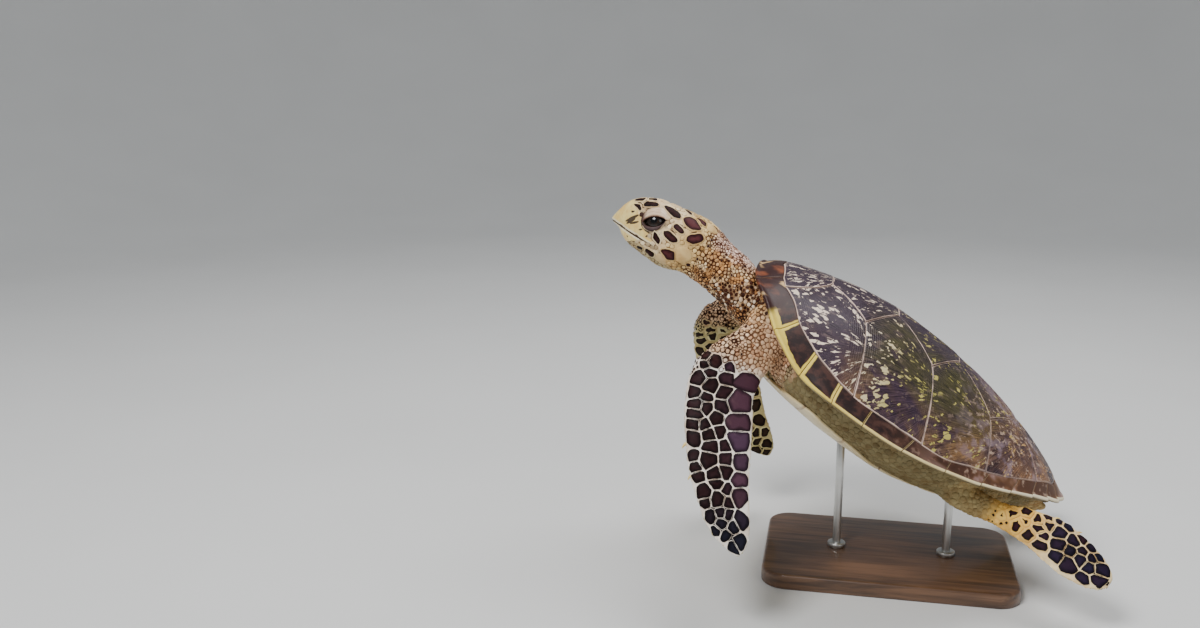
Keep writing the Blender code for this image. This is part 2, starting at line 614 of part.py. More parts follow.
def rounded_base():
    """A board with round corners and an eased upper edge."""
    turn = np.linspace(0, math.pi / 2, 3)
    edge = .3 * BASE_EDGE
    rings = []
    for inset, down in ((0, BASE[2]), (0, BASE_EDGE), (edge, edge), (BASE_EDGE, 0)):
        points = []
        for k, (mid_x, mid_y) in enumerate(((1, 1), (-1, 1), (-1, -1), (1, -1))):
            centre = mid_x * (BASE[0] / 2 - BASE_CORNER), mid_y * (BASE[1] / 2 - BASE_CORNER)
            angle = turn + k * math.pi / 2
            points.append(centre + (BASE_CORNER - inset) * np.stack([np.cos(angle), np.sin(angle)], 1))
        ring = np.concatenate(points)
        rings.append(np.column_stack([ring, np.full(len(ring), BASE[2] - down)]))
    return loft("stand_base", rings, "base_wood")


def build():
    clear_scene()
    body = bpy.data.objects.new("body_frame", None)
    bpy.context.scene.collection.objects.link(body)
    body.location = BODY_AT
    body.rotation_euler = (0, math.radians(PITCH), 0)
    bpy.context.view_layer.update()
    back_plates(body)
    side_plates(body)
    rim_plates(body)
    trunk_body = trunk(body)
    belly = plastron(body)
    neck(trunk_body, body)
    head(body)
    limbs(trunk_body, body)
    tail(trunk_body, body)
    stand(trunk_body, belly)


build()
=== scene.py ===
# %% [markdown]
# # Hawksbill sea turtle on a display stand
#
# The turtle swims upward, nose raised. Its shell is a mosaic of horn plates over one body, and
# everything soft is one skin with small horny scales set into it. All shapes are written in the
# turtle's own frame: x runs aft, y to its right and z up out of its back, with the origin halfway
# along the shell. Lengths of the animal are given in shell lengths.

# %% Load the frame
import math

import bmesh
import bpy
import numpy as np
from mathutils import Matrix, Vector
from mathutils.bvhtree import BVHTree
from mathutils.kdtree import KDTree


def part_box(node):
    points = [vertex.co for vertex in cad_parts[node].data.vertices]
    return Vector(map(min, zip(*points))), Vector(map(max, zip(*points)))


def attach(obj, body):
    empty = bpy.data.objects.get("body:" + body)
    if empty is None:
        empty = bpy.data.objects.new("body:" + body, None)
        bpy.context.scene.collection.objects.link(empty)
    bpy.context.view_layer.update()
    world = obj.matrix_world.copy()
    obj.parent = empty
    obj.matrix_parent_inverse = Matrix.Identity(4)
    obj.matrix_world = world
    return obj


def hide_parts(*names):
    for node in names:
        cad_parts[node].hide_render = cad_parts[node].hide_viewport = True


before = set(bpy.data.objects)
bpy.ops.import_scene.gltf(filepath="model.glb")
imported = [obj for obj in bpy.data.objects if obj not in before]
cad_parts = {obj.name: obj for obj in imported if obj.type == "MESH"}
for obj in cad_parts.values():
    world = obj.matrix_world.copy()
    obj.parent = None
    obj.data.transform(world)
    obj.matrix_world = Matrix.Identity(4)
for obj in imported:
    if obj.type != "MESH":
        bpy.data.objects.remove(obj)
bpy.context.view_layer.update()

# %% [markdown]
# ## The turtle's frame
#
# The animal swims nose up, but it is far easier to measure lying level. So every shape is worked out
# level and then placed: a body point $b$, in metres, goes to the world by a turn about Y and a shift,
# $w = R_y(p)\,b + t$, with $p$ the shell's nose-up angle.

# %% The turtle's frame
SHELL = 0.45
PITCH = math.radians(35.75)
BODY_AT = np.array([0.015, 0.0, 0.240])
TURN = np.array([[math.cos(PITCH), 0, math.sin(PITCH)], [0, 1, 0], [-math.sin(PITCH), 0, math.cos(PITCH)]])


def to_world(points):
    """World points from body points in metres: w = R b + t."""
    return np.asarray(points, float) @ TURN.T + BODY_AT


print("nose raised by", round(math.degrees(PITCH), 2), "degrees")

# %% [markdown]
# ## Curves, steps and noise
#
# A living outline has no straight runs and no bumps between the few places where it is measured, so
# each one is a short table that a smooth curve goes through. An eased step blends one region into
# the next, and a sum of sines gives soft noise that comes out the same on every run.

# %% Curves, steps and noise
def curve(at, table):
    """Smooth curve through the table's (places, values): cubic pieces that never overshoot."""
    x, y = (np.asarray(row, float) for row in table)
    step, rise = np.diff(x), np.diff(y) / np.diff(x)
    slope = np.concatenate([rise[:1], np.zeros(len(x) - 2), rise[-1:]])
    same = rise[:-1] * rise[1:] > 0
    a, b = 2 * step[1:] + step[:-1], step[1:] + 2 * step[:-1]
    with np.errstate(divide="ignore", invalid="ignore"):
        slope[1:-1] = np.where(same, (a + b) / (a / rise[:-1] + b / rise[1:]), 0)
    at = np.clip(np.asarray(at, float), x[0], x[-1])
    i = np.clip(np.searchsorted(x, at, side="right") - 1, 0, len(step) - 1)
    t = (at - x[i]) / step[i]
    return (y[i] * (1 + 2 * t) * (1 - t) ** 2 + y[i + 1] * t * t * (3 - 2 * t)
            + step[i] * t * (1 - t) * (slope[i] * (1 - t) - slope[i + 1] * t))


def ease(value, low, high):
    """0 below low, 1 above high, and 3t^2 - 2t^3 between them."""
    t = np.clip((value - low) / (high - low), 0, 1)
    return t * t * (3 - 2 * t)


def unit(vectors):
    """The vectors at length one."""
    vectors = np.asarray(vectors, float)
    return vectors / np.maximum(np.linalg.norm(vectors, axis=-1, keepdims=True), 1e-12)


def ripple(points, size, seed):
    """Soft noise of about unit strength: a sum of sines of random direction, wavelength near size."""
    random, waves = np.random.default_rng(seed), 24
    way = unit(random.normal(size=(waves, 3))) * (2 * np.pi / size) * random.uniform(.6, 1.5, (waves, 1))
    phase = random.uniform(0, 2 * np.pi, waves)
    return np.sin(np.asarray(points) @ way.T + phase).sum(-1) * math.sqrt(2 / waves)


print("halfway up an eased step", float(ease(.5, 0, 1)))

# %% [markdown]
# ## Meshes
#
# A mesh can be modelled by hand, but every surface here follows a formula, so its points and faces
# come as whole arrays and go into the mesh in one call. Faces are indices into the points: a grid
# gives quads, and a closed shape that comes out inside out is turned round by its signed volume.

# %% Mesh helpers
def add_piece(name, points, faces, looks, fields=None, uv=None):
    """Mesh object from world points and a list of face arrays (m, k), each of one corner count k."""
    mesh = bpy.data.meshes.new(name)
    points = np.asarray(points, float)
    faces = [np.asarray(f, int) for f in faces if len(f)]
    corners = np.concatenate([f.ravel() for f in faces])
    sizes = np.concatenate([np.full(len(f), f.shape[1]) for f in faces])
    mesh.vertices.add(len(points))
    mesh.vertices.foreach_set("co", points.ravel())
    mesh.loops.add(len(corners))
    mesh.loops.foreach_set("vertex_index", corners)
    mesh.polygons.add(len(sizes))
    mesh.polygons.foreach_set("loop_start", np.concatenate([[0], np.cumsum(sizes)[:-1]]))
    mesh.update(calc_edges=True)
    for key, value in (fields or {}).items():
        value = np.asarray(value, float)
        kind, part = ("FLOAT", "value") if value.ndim == 1 else ("FLOAT_VECTOR", "vector")
        mesh.attributes.new(key, kind, "POINT").data.foreach_set(part, value.ravel())
    if uv is not None:
        mesh.uv_layers.new(name="OFBake").data.foreach_set("uv", np.asarray(uv)[corners].ravel())
    mesh.shade_smooth()
    mesh.materials.append(looks)
    made = bpy.data.objects.new(name, mesh)
    bpy.context.scene.collection.objects.link(made)
    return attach(made, "root")


def outward(points, faces):
    """The faces, turned round if the volume they enclose, a sum of a . (b x c) / 6, is negative."""
    volume = 0
    for f in faces:
        a = points[f[:, 0]]
        for k in range(1, f.shape[1] - 1):
            volume += np.einsum("ij,ij->", a, np.cross(points[f[:, k]], points[f[:, k + 1]]))
    return faces if volume > 0 else [f[:, ::-1] for f in faces]


def grid_faces(rows, cols, start=0, closed=False):
    """Quads over a grid of points; closed joins the last column to the first."""
    i, j = np.meshgrid(np.arange(rows - 1), np.arange(cols if closed else cols - 1), indexing="ij")
    here, beside = i * cols + j, i * cols + (j + 1) % cols
    return start + np.stack([here, beside, beside + cols, here + cols], -1).reshape(-1, 4)


def slab(surface, under):
    """World points and faces of a closed slab: two grids of body points and a wall round them."""
    rows, cols = surface.shape[:2]
    count = rows * cols
    top, right = np.arange(cols), np.arange(1, rows) * cols + cols - 1
    bottom, left = (rows - 1) * cols + np.arange(cols - 2, -1, -1), np.arange(rows - 2, 0, -1) * cols
    loop = np.concatenate([top, right, bottom, left])
    wall = np.stack([loop, loop + count, np.roll(loop, -1) + count, np.roll(loop, -1)], 1)
    points = to_world(np.concatenate([surface.reshape(-1, 3), under.reshape(-1, 3)]))
    return points, outward(points, [grid_faces(rows, cols), grid_faces(rows, cols, count)[:, ::-1], wall])


print("a 3 x 3 grid has", len(grid_faces(3, 3)), "quads")

# %% [markdown]
# ## Materials
#
# A node tree can be drawn in the editor or built one node at a time. Here `Val` wraps a socket and
# overloads the arithmetic, so that each sum or product written in Python adds one Math node, and
# `Looks` makes any other node through one method.

# %% Materials
class Val:
    """A shader socket as a Python value, with one Math node for each operation."""

    def __init__(self, looks, socket):
        self.looks, self.socket = looks, socket

    def math(self, operation, *others):
        return self.looks.node("ShaderNodeMath", [self, *others], operation=operation)

    def __add__(self, other):
        return self.math("ADD", other)

    def __sub__(self, other):
        return self.math("SUBTRACT", other)

    def __mul__(self, other):
        return self.math("MULTIPLY", other)

    def __radd__(self, other):
        return self + other

    def __rmul__(self, other):
        return self * other

    def __rsub__(self, other):
        return self * -1.0 + other

    def step(self, low, high):
        """0 below low and 1 above high, eased between; low and high may also fall."""
        ends = {"Value": self, "From Min": low, "From Max": high}
        return self.looks.node("ShaderNodeMapRange", ends, interpolation_type="SMOOTHSTEP")

    def mix(self, first, second):
        """Colour from first, where self is 0, to second, where it is 1."""
        return self.looks.node("ShaderNodeMix", {0: self, 6: first, 7: second}, out=2, data_type="RGBA")

    def stretched(self, x, y, z):
        """A vector or colour times (x, y, z), part by part."""
        return self.looks.node("ShaderNodeVectorMath", [self, (x, y, z)], operation="MULTIPLY")

    def part(self, axis):
        """The X, Y or Z of a vector."""
        return self.looks.node("ShaderNodeSeparateXYZ", [self], out="XYZ".index(axis))


class Looks:
    """One material under construction."""

    def __init__(self, name):
        self.material = bpy.data.materials.new(name)
        self.material.use_nodes = True
        self.tree = self.material.node_tree
        self.shader = self.tree.nodes["Principled BSDF"]

    def set(self, socket, value):
        """Links a Val to the socket, or sets a number, a vector or a colour on it."""
        if isinstance(value, Val):
            self.tree.links.new(value.socket, socket)
        elif isinstance(value, tuple) and len(value) == 3 and socket.type == "RGBA":
            socket.default_value = (*value, 1)
        else:
            socket.default_value = value

    def node(self, kind, inputs=(), out=0, **settings):
        """Any node: its settings first, then its sockets, by name or by place."""
        made = self.tree.nodes.new(kind)
        for key, value in settings.items():
            setattr(made, key, value)
        for key, value in (inputs.items() if isinstance(inputs, dict) else enumerate(inputs)):
            self.set(made.inputs[key], value)
        return Val(self, made.outputs[out])

    def field(self, name, out="Fac"):
        """An attribute that the mesh carries."""
        return self.node("ShaderNodeAttribute", out=out, attribute_name=name)

    def place(self):
        """Object coordinates, which are world metres because every object stays at the origin."""
        return self.node("ShaderNodeTexCoord", out="Object")

    def noise(self, at, scale, detail=3.0, rough=.5, twist=0.0):
        """Cloudy noise from 0 to 1 with scale features a metre."""
        inputs = {"Vector": at, "Scale": scale, "Detail": detail, "Roughness": rough, "Distortion": twist}
        return self.node("ShaderNodeTexNoise", inputs)

    def cells(self, at, scale, feature="F1", out=0):
        """Cells round scattered points: the distance to a point or to a border, or a chance colour."""
        return self.node("ShaderNodeTexVoronoi", {"Vector": at, "Scale": scale}, out=out, feature=feature)

    def warped(self, at, scale, amount):
        """The place pushed about by noise."""
        cloud = self.node("ShaderNodeTexNoise", {"Vector": at, "Scale": scale, "Detail": 2.0}, out="Color")
        push = self.node("ShaderNodeVectorMath", [cloud, (.5, .5, .5)], operation="SUBTRACT")
        push = push.stretched(amount, amount, amount)
        return self.node("ShaderNodeVectorMath", [at, push], operation="ADD")

    def bump(self, height, strength, distance):
        """A normal tilted by the slope of the height."""
        return self.node("ShaderNodeBump", {"Height": height, "Strength": strength, "Distance": distance})

    def finish(self, **sockets):
        """Sets the main shader's sockets, with _ for each space of a name, and gives the material."""
        for name, value in sockets.items():
            self.set(self.shader.inputs[name.replace("_", " ")], value)
        return self.material


print("helpers ready for Blender", bpy.app.version_string)

# %% [markdown]
# ## Camera, floor and light
#
# A museum model is shown on a plain sweep of paper. The floor is a disc whose edge curves up into a
# wall, a profile turned round the middle, so that no horizon line shows. One large lamp gives the
# shape, a weak one opens the shadows and one from above lights the shell. The camera stands low on
# the turtle's left and looks slightly down, which shows the whole flipper and the belly's edge.

# %% Camera, floor and light
def camera():
    """A 34.5 mm lens low on the turtle's left, turned 12 degrees towards its tail."""
    made = bpy.data.objects.new("camera", bpy.data.cameras.new("camera"))
    made.data.lens, made.data.sensor_width = 34.5, 36
    made.location = (-.0724, -1.3794, .6184)
    made.rotation_euler = (math.radians(90 - 12.64), 0, math.radians(12.0))
    bpy.context.scene.collection.objects.link(made)
    bpy.context.scene.camera = made


def backdrop():
    """A flat disc that bends up at its edge: radius 2.8 + 2.2 sin a, height 2 (1 - cos a)."""
    bend = np.linspace(.08, np.pi / 2, 14)
    radius = np.concatenate([[.01, 1.5, 2.8], 2.8 + 2.2 * np.sin(bend)])
    height = np.concatenate([[0, 0, 0], 2.0 - 2.0 * np.cos(bend)])
    turn = np.linspace(0, 2 * np.pi, 96, endpoint=False)
    flat = radius[:, None, None] * np.stack([np.cos(turn), np.sin(turn)], -1)
    points = np.concatenate([flat, np.broadcast_to(height[:, None, None], (len(height), 96, 1))], -1)
    looks = Looks("studio_paper")
    grain = looks.noise(looks.place(), 3.0, 2.0)
    paper = looks.finish(Base_Color=grain.mix((.72, .72, .71), (.78, .78, .77)), Roughness=.9)
    faces = [grid_faces(len(radius), 96, closed=True)[:, ::-1], np.arange(96)[None, ::-1]]
    add_piece("floor", points.reshape(-1, 3), faces, paper)


LAMPS = (("key", (-1.1, -1.7, 2.6), 74, 1.0), ("fill", (2.4, -2.0, 2.1), 13, 1.5),
         ("top", (.3, .5, 2.4), 36, 1.2))
AIM = Vector((0, 0, .28))


def lamps():
    """Square lamps, as (name, place, watts, width), all aimed at the turtle, and a faint even sky."""
    for name, place, power, width in LAMPS:
        lamp = bpy.data.objects.new(name, bpy.data.lights.new(name, "AREA"))
        lamp.data.energy, lamp.data.size = power, width
        lamp.location = place
        lamp.rotation_euler = (AIM - Vector(place)).to_track_quat("-Z", "Y").to_euler()
        bpy.context.scene.collection.objects.link(lamp)
    world = bpy.data.worlds.new("studio")
    world.use_nodes = True
    sky = world.node_tree.nodes["Background"].inputs
    sky["Color"].default_value = (.80, .85, .90, 1)
    sky["Strength"].default_value = .26
    bpy.context.scene.world = world


camera()
backdrop()
lamps()
print("lamps", [name for name, *_ in LAMPS])

# %% [markdown]
# ## The shell's surface
#
# A turtle's shell is its ribs and backbone grown into one vault. It could be sculpted, but plates, rim
# and the flesh beneath all have to follow the same vault, so it is one formula that they all read.
# A point of the shell is given by its station $s$ (0 in front, 1 at the tail) and its offset $y$.
# The back is an arch from rim to rim that flares a little near the edge:
# $h = r + (t - r)\,(1 - q^2 - 0.3\,q^6(1 - q^6))$, with $q = |y| / w(s)$.

# %% The shell's surface
# Half width, height of the ridge and depth of the rim's sag in shell lengths, plate thicknesses in metres
HALF_WIDTH, ARCH, SAG = .388, .130, .083
PLATE, RIM = .006, .012
# Each curve is its stations and its values there: shares of the sizes above, then shell lengths
WIDTH_AT = ((0, .01, .04, .08, .13, .20, .30, .40, .50, .60, .70, .80, .88, .94, .98, 1),
            (.154, .333, .513, .672, .800, .910, .987, 1, .974, .910, .795, .628, .449, .282, .154, .051))
RIDGE_AT = ((0, .03, .07, .16, .24, .30, .40, .50, .60, .70, .80, .90, .97, 1),
            (0, .25, .42, .66, .84, .92, 1, .99, .93, .81, .62, .36, .12, 0))
SAG_AT = ((0, .05, .12, .25, .45, .70, .90, 1), (0, .15, .55, 1, .95, .60, .15, 0))
BELLY_AT = ((.03, .10, .20, .35, .55, .70, .82, .90, .97),
            (.120, .182, .215, .216, .210, .190, .148, .105, .060))
FLANK_AT = ((.03, .10, .18, .27, .36, .50, .62, .72, .82, .90, .97),
            (.115, .155, .215, .285, .325, .330, .300, .230, .150, .095, .040))
PLASTRON_AT = ((.10, .14, .20, .27, .34, .46, .54, .64, .72, .80, .85),
               (.050, .105, .160, .235, .280, .265, .205, .130, .095, .060, .020))
# Corners of the plates as (station, offset): along the back, at the sides' knees and on the inner seam
NUCHAL_REAR, NUCHAL_CORNER, FIRST = (.046, 0), (.060, .115), (.074, .153)
BACK = [(.175, .055), (.361, .046), (.560, .038), (.775, .034)]
KNEE = [(.288, .166), (.487, .162), (.686, .150)]
LAST_AT, FOOT = .885, (.354, .555, .735)
INNER_AT = ((.074, .111, .149, .208, .268, .310, .388, .475, .609, .700, .780, .860, .920, .950, .957),
            (.153, .196, .249, .290, .320, .335, .346, .340, .321, .275, .224, .155, .088, .045, .0))
RIM_INNER = (.149, .225, .313, .409, .533, .640, .745, .832, .885, .924, .950)
RIM_OUTER = (.113, .219, .315, .405, .519, .636, .737, .822, .888, .938, .975)


def half_width(s):
    return HALF_WIDTH * curve(s, WIDTH_AT)


def back_height(s, y):
    """Height of the shell's outer face, in shell lengths."""
    rim = -SAG * curve(s, SAG_AT)
    q = np.clip(np.abs(y) / half_width(s), 0, 1)
    return rim + (ARCH * curve(s, RIDGE_AT) - rim) * (1 - q ** 2 - .30 * q ** 6 * (1 - q ** 6))


def on_back(plan, drop=0.0):
    """Points of the shell's face, in metres of the body frame, from (station, offset) pairs."""
    s, y = plan[..., 0], plan[..., 1]
    return SHELL * np.stack([s - .5, y, back_height(s, y) - drop], -1)


def line(*corners):
    """Plan curve through straight runs, each taking an equal share of t from 0 to 1."""
    corners = np.array(corners, float)
    at = np.linspace(0, 1, len(corners))
    return lambda t: np.stack([np.interp(t, at, corners[:, 0]), np.interp(t, at, corners[:, 1])], -1)


def inner_line(low, high):
    """The seam inside the rim plates, from station low to station high."""
    return lambda t: np.stack([low + (high - low) * t, curve(low + (high - low) * t, INNER_AT)], -1)


def outline(low, high):
    """The shell's outline, from station low to station high."""
    return lambda t: np.stack([low + (high - low) * t, half_width(low + (high - low) * t)], -1)


def mirrored(run):
    """The same run on the other side."""
    return lambda t: run(t) * np.array([1, -1])


def reversed_run(run):
    """The same run from its end to its start."""
    return lambda t: run(1 - t)


def first_seam(t):
    """Bent seam between the first plates of back and side: a quadratic Bezier curve."""
    t = np.asarray(t)[..., None]
    start, pull, end = np.array(FIRST), np.array([.150, .125]), np.array(BACK[0])
    return (1 - t) ** 2 * start + 2 * t * (1 - t) * pull + t ** 2 * end


def coons(top, bottom, left, right, u, v):
    """Coons patch between four curves: blended edges minus the bilinear blend of the corners."""
    across = (1 - v)[:, None, None] * top(u)[None] + v[:, None, None] * bottom(u)[None]
    down = (1 - u)[None, :, None] * left(v)[:, None] + u[None, :, None] * right(v)[:, None]
    ends = np.array([0.0, 1.0])
    a, b = top(ends), bottom(ends)
    u, v = u[None, :, None], v[:, None, None]
    return across + down - ((1 - v) * ((1 - u) * a[0] + u * a[1]) + v * ((1 - u) * b[0] + u * b[1]))


def edge_distance(points):
    """Distance from each point of a grid to the grid's own border."""
    border = np.concatenate([points[0], points[-1], points[:, 0], points[:, -1]])
    flat = points.reshape(-1, 3)
    gaps = np.linalg.norm(flat[:, None] - border[None], axis=-1).min(1)
    return gaps.reshape(points.shape[:2])


print("shell width", round(2 * HALF_WIDTH * SHELL, 3), "m, ridge above the rim", round(ARCH * SHELL, 3), "m")

# %% [markdown]
# ## Horn of the shell
#
# A hawksbill's plates are the tortoiseshell of old combs: dark horn with pale streaks that fan out
# from where each plate began to grow. They could be painted by hand. Here each plate stores its own
# polar coordinates about a point behind it, so that a noise stretched along the radius gives the
# flecks and no two plates are alike. Colours drift along the shell: purple-brown in front, olive in
# the middle, rust towards the tail.

# %% Horn of the back
def carapace_base(strands, cloud, station, reach):
    """Dark horn, with olive over the middle of the shell and rust towards its tail and rim."""
    middle = station.step(.24, .40) * station.step(.84, .64) * reach.step(.08, .36)
    olive = middle * cloud.step(.38, .56)
    rear, low = station.step(.56, .95) * .95, reach.step(.62, .90) * .60 * station.step(.08, .34)
    rust = (rear + low) * cloud.step(.34, .60)
    base = strands.step(.3, .7).mix((.013, .007, .012), (.066, .038, .062))
    base = (olive * .9).mix(base, strands.step(.35, .7).mix((.022, .020, .010), (.110, .096, .034)))
    rust = rust.math("MINIMUM", .92)
    rusty = strands.step(.3, .72).mix((.095, .038, .024), (.580, .300, .130))
    return rust.mix(base, rusty)


def carapace_wear_and_sheen(looks, world, colour, cloud, wobble, station, edge):
    """The colour under a painted lilac sheen and dust at the rear, and with a pale groove along each seam.
    """
    dust = looks.noise(world.stretched(.6, 1.0, 1.0), 150.0, 3.0, .6, .6)
    rear = station.step(.52, .78)
    # Painted sheen: lilac patches over the rear stand in for the light that the wet horn reflects there.
    colour = ((wobble * .6 + cloud * .4).step(.50, .60) * rear * .55).mix(colour, (.34, .25, .31))
    colour = (dust.step(.56, .66) * (rear * .60 + .10)).mix(colour, (.62, .44, .33))
    seam = (edge + (wobble - .5) * .0022).step(.0014, .0007)
    colour = (seam * (.95 - station.step(.50, .80) * .65)).mix(colour, (.80, .58, .48))
    return (edge.step(.0006, .0002) * (.7 - rear * .5)).mix(colour, (.02, .010, .009))


def carapace_looks():
    """Horn with large and small pale flecks along each plate's fan, and growth rings inside its edge."""
    looks = Looks("carapace_horn")
    fan, place, edge = looks.field("fan", "Vector"), looks.field("place", "Vector"), looks.field("edge")
    station, reach = place.part("X"), place.part("Y")
    world = looks.place()
    cloud = looks.noise(world, 11.0, 4.0, .6, .5)
    drift = looks.noise(fan, 1.3, 2.0, .5)
    strands = looks.noise(fan.stretched(9.0, .6, 1.0), 5.0, 3.0, .6)
    bent = looks.warped(fan, 6.0, .22)
    chance, size = (looks.cells(bent, scale, out="Color").part("X") for scale in (6.2, 13.0))
    rim, fine_rim = (looks.cells(bent, scale, "DISTANCE_TO_EDGE") for scale in (6.2, 13.0))
    front = station.step(.66, .05)
    fleck = (chance + drift * .62 + front * .12 - 1.262).step(0.0, .03) * rim.step(.03, .12)
    crumb = (size + drift * .56 + front * .03 - 1.215).step(0.0, .03) * fine_rim.step(.04, .14) * .9
    base = carapace_base(strands, cloud, station, reach)
    pale = station.step(.26, .48).mix((.86, .70, .56), (.50, .43, .11))
    pale = station.step(.66, .86).mix(pale, (.62, .34, .14))
    colour = fleck.mix(crumb.mix(base, pale), pale)
    wobble = looks.noise(world, 60.0, 2.0)
    colour = carapace_wear_and_sheen(looks, world, colour, cloud, wobble, station, edge)
    rings = (edge * 2600.0 + wobble * 2.2).math("SINE") * edge.step(.030, .002)
    normal = looks.bump(rings * .35 + strands * .5 + cloud * .6, .35, .0011)
    return looks.finish(Base_Color=colour, Roughness=.32 + cloud * .20 + fleck * .06, Normal=normal,
                        Coat_Weight=.08, Coat_Roughness=.18, Specular_IOR_Level=.22)


carapace_horn = carapace_looks()
print("horn of the back:", len(carapace_horn.node_tree.nodes), "nodes")

# %% Horn of the rim
def rim_cream(station, fine):
    """The rim's pale border: amber in front, cream towards the tail."""
    amber = station.step(.20, .62).mix((.80, .60, .10), (.84, .68, .34))
    amber = (fine.step(.45, .8) * .40).mix(amber, (.50, .30, .06))
    return station.step(.60, .90).mix(amber, (.93, .82, .58))


def rim_dark(station, cloud, fine):
    """The rim's dark blocks: near black in front, brown with dust and a painted lilac sheen towards the
    tail.
    """
    dark = fine.step(.40, .66).mix((.018, .008, .008), (.060, .024, .018))
    tail = cloud.step(.42, .64).mix((.110, .045, .022), (.46, .22, .085))
    dark = (station.step(.44, .92) * .85).mix(dark, tail)
    # Painted sheen: lilac patches towards the tail.
    dark = (cloud.step(.48, .58) * station.step(.50, .80) * .55).mix(dark, (.34, .24, .27))
    return (fine.step(.56, .68) * station.step(.40, .80) * .5).mix(dark, (.62, .44, .33))


def rim_looks():
    """Dark blocks framed by a pale border along the edge and bars at the plates' ends; olive beneath,
    darkened towards the rear as painted shade.
    """
    looks = Looks("rim_horn")
    place, rim = looks.field("place", "Vector"), looks.field("rim", "Vector")
    station, outer, side = place.part("X"), rim.part("X"), rim.part("Y")
    world = looks.place()
    cloud = looks.noise(world, 18.0, 3.0, .6, .5)
    fine = looks.noise(world, 90.0, 3.0, .6)
    wobble = ((cloud - .5) * .016 + (fine - .5) * .005) * (1 - station.step(.20, .38) * .80)
    width = .0118 - station.step(.14, .27) * .0086 + station.step(.50, .90) * .0006
    inside = (outer + wobble - width).step(0.0, .0012)
    bars = .0034 - station.step(.28, .40) * .0027
    between = (side + wobble * .5 - bars).step(.0008, -.0006) * (1 - station.step(.42, .66) * .85)
    block = inside * (1 - between)
    cream, dark = rim_cream(station, fine), rim_dark(station, cloud, fine)
    shoulder = station.step(.122, .100)
    rusty = cloud.step(.52, .64).mix((.030, .006, .005), (.22, .060, .022))
    rusty = (cloud.step(.42, .33) * .9).mix(rusty, (.80, .52, .24))
    colour = shoulder.mix(block.mix(cream, dark), rusty)
    colour = (side.step(.0010, .0004) * .55).mix(colour, (.22, .11, .05))
    keel = station.step(.16, .32) * .0034
    # Painted shade beneath the rim: olive-yellow under the front plates, deep olive from the middle back.
    under = station.step(.14, .34).mix((.55, .47, .22), (.16, .12, .055))
    colour = (outer + wobble * .3 - keel).step(-.0022, -.0044).mix(colour, under)
    normal = looks.bump(fine * .5 + cloud, .30, .0010)
    return looks.finish(Base_Color=colour, Roughness=.38 + fine * .16, Normal=normal, Coat_Weight=.06,
                        Coat_Roughness=.2, Specular_IOR_Level=.25)


rim_horn = rim_looks()
print("horn of the rim:", len(rim_horn.node_tree.nodes), "nodes")

# %% [markdown]
# ## Plates of the back
#
# Five large plates run along the back and four down each side. They could be cut out of one arch,
# but the real ones overlap like tiles, so each is a slab of its own: a patch blended between its four
# seams, with points crowded towards the border so that its edge can round over. Growth lifts its
# rear edge over the plate behind, and the plates of the middle carry a low keel.

# %% Plates of the back
EASED = (1 - np.cos(np.pi * np.linspace(0, 1, 49))) / 2
SEAM_GAP = .0008
LIP = np.array([0, .25, .6, 1.1, 1.9]) * .001 / SHELL


def marks(length, count):
    """Shares of a run of that length, from gap to gap: five close to each end, the rest even."""
    ends = (SEAM_GAP + LIP) / length
    return np.concatenate([ends[:-1], np.linspace(ends[-1], 1 - ends[-1], count), 1 - ends[-2::-1]])


def plate_surface(plan, edge, aft, keel):
    """Outer face of a plate: edge rounded down, rear lifted, and a low keel on the middle line."""
    surface = on_back(plan)
    lift = -.0011 * np.exp(-edge / .0007) + .0011 * (aft - .45) * np.exp(-edge / .02)
    if keel:
        lift = lift + .0014 * np.exp(-(plan[..., 1] * SHELL / .006) ** 2) * (1 - np.exp(-edge / .008))
    surface[..., 2] += lift
    return surface


def streak_fan(plan, rear, side, keel, seed):
    """Polar coordinates (angle, radius, seed) of a plate's points about a hub behind its rear edge."""
    centre = plan.reshape(-1, 2).mean(0)
    hub = rear + (rear - centre) * .35 - (0 if keel else 1) * np.array([0, .03 * side])
    away = plan - hub
    angle, radius = np.arctan2(away[..., 1], -away[..., 0]), np.linalg.norm(away, axis=-1)
    return np.stack([angle * 3.0, radius * 9.0, seed], -1)


def back_plate(name, top, bottom, left, right, side, number):
    """One plate as a slab between four seams; on the five of the middle, u runs across the back."""
    middle = "vertebral" in name
    size = [np.linalg.norm(np.diff(run(EASED), axis=0), axis=1).sum() for run in (top, left)]
    u, v = (marks(length, 37) for length in size)
    plan = coons(top, bottom, left, right, u, v) * np.array([1, side])
    edge = edge_distance(on_back(plan))
    aft = np.broadcast_to((v[:, None] if middle else u[None, :]), edge.shape)
    seed = np.full(edge.shape, number * 3.7 + (side < 0) * 1.9)
    fan = streak_fan(plan, plan[-1].mean(0) if middle else plan[:, -1].mean(0), side, middle, seed)
    place = np.stack([plan[..., 0], np.abs(plan[..., 1]) / half_width(plan[..., 0]), seed], -1)
    points, faces = slab(plate_surface(plan, edge, aft, middle), on_back(plan, PLATE))
    fields = {"fan": fan, "place": place, "edge": edge}
    for key, value in fields.items():
        fields[key] = np.concatenate([value.reshape(edge.size, -1)] * 2).squeeze()
    piece = add_piece(name + "_horn", points, faces, carapace_horn, fields)
    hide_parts(name)


def over(corner):
    """Seam straight across the back between a corner and its mirror image."""
    return line((corner[0], -corner[1]), corner)


def tail_edge(t):
    """Rear edge of the last middle plate: the inner seam of the rim from one side to the other."""
    half = reversed_run(inner_line(LAST_AT, INNER_AT[0][-1]))
    return half(np.abs(1 - 2 * t)) * np.where(t[:, None] < .5, [1, -1], [1, 1])


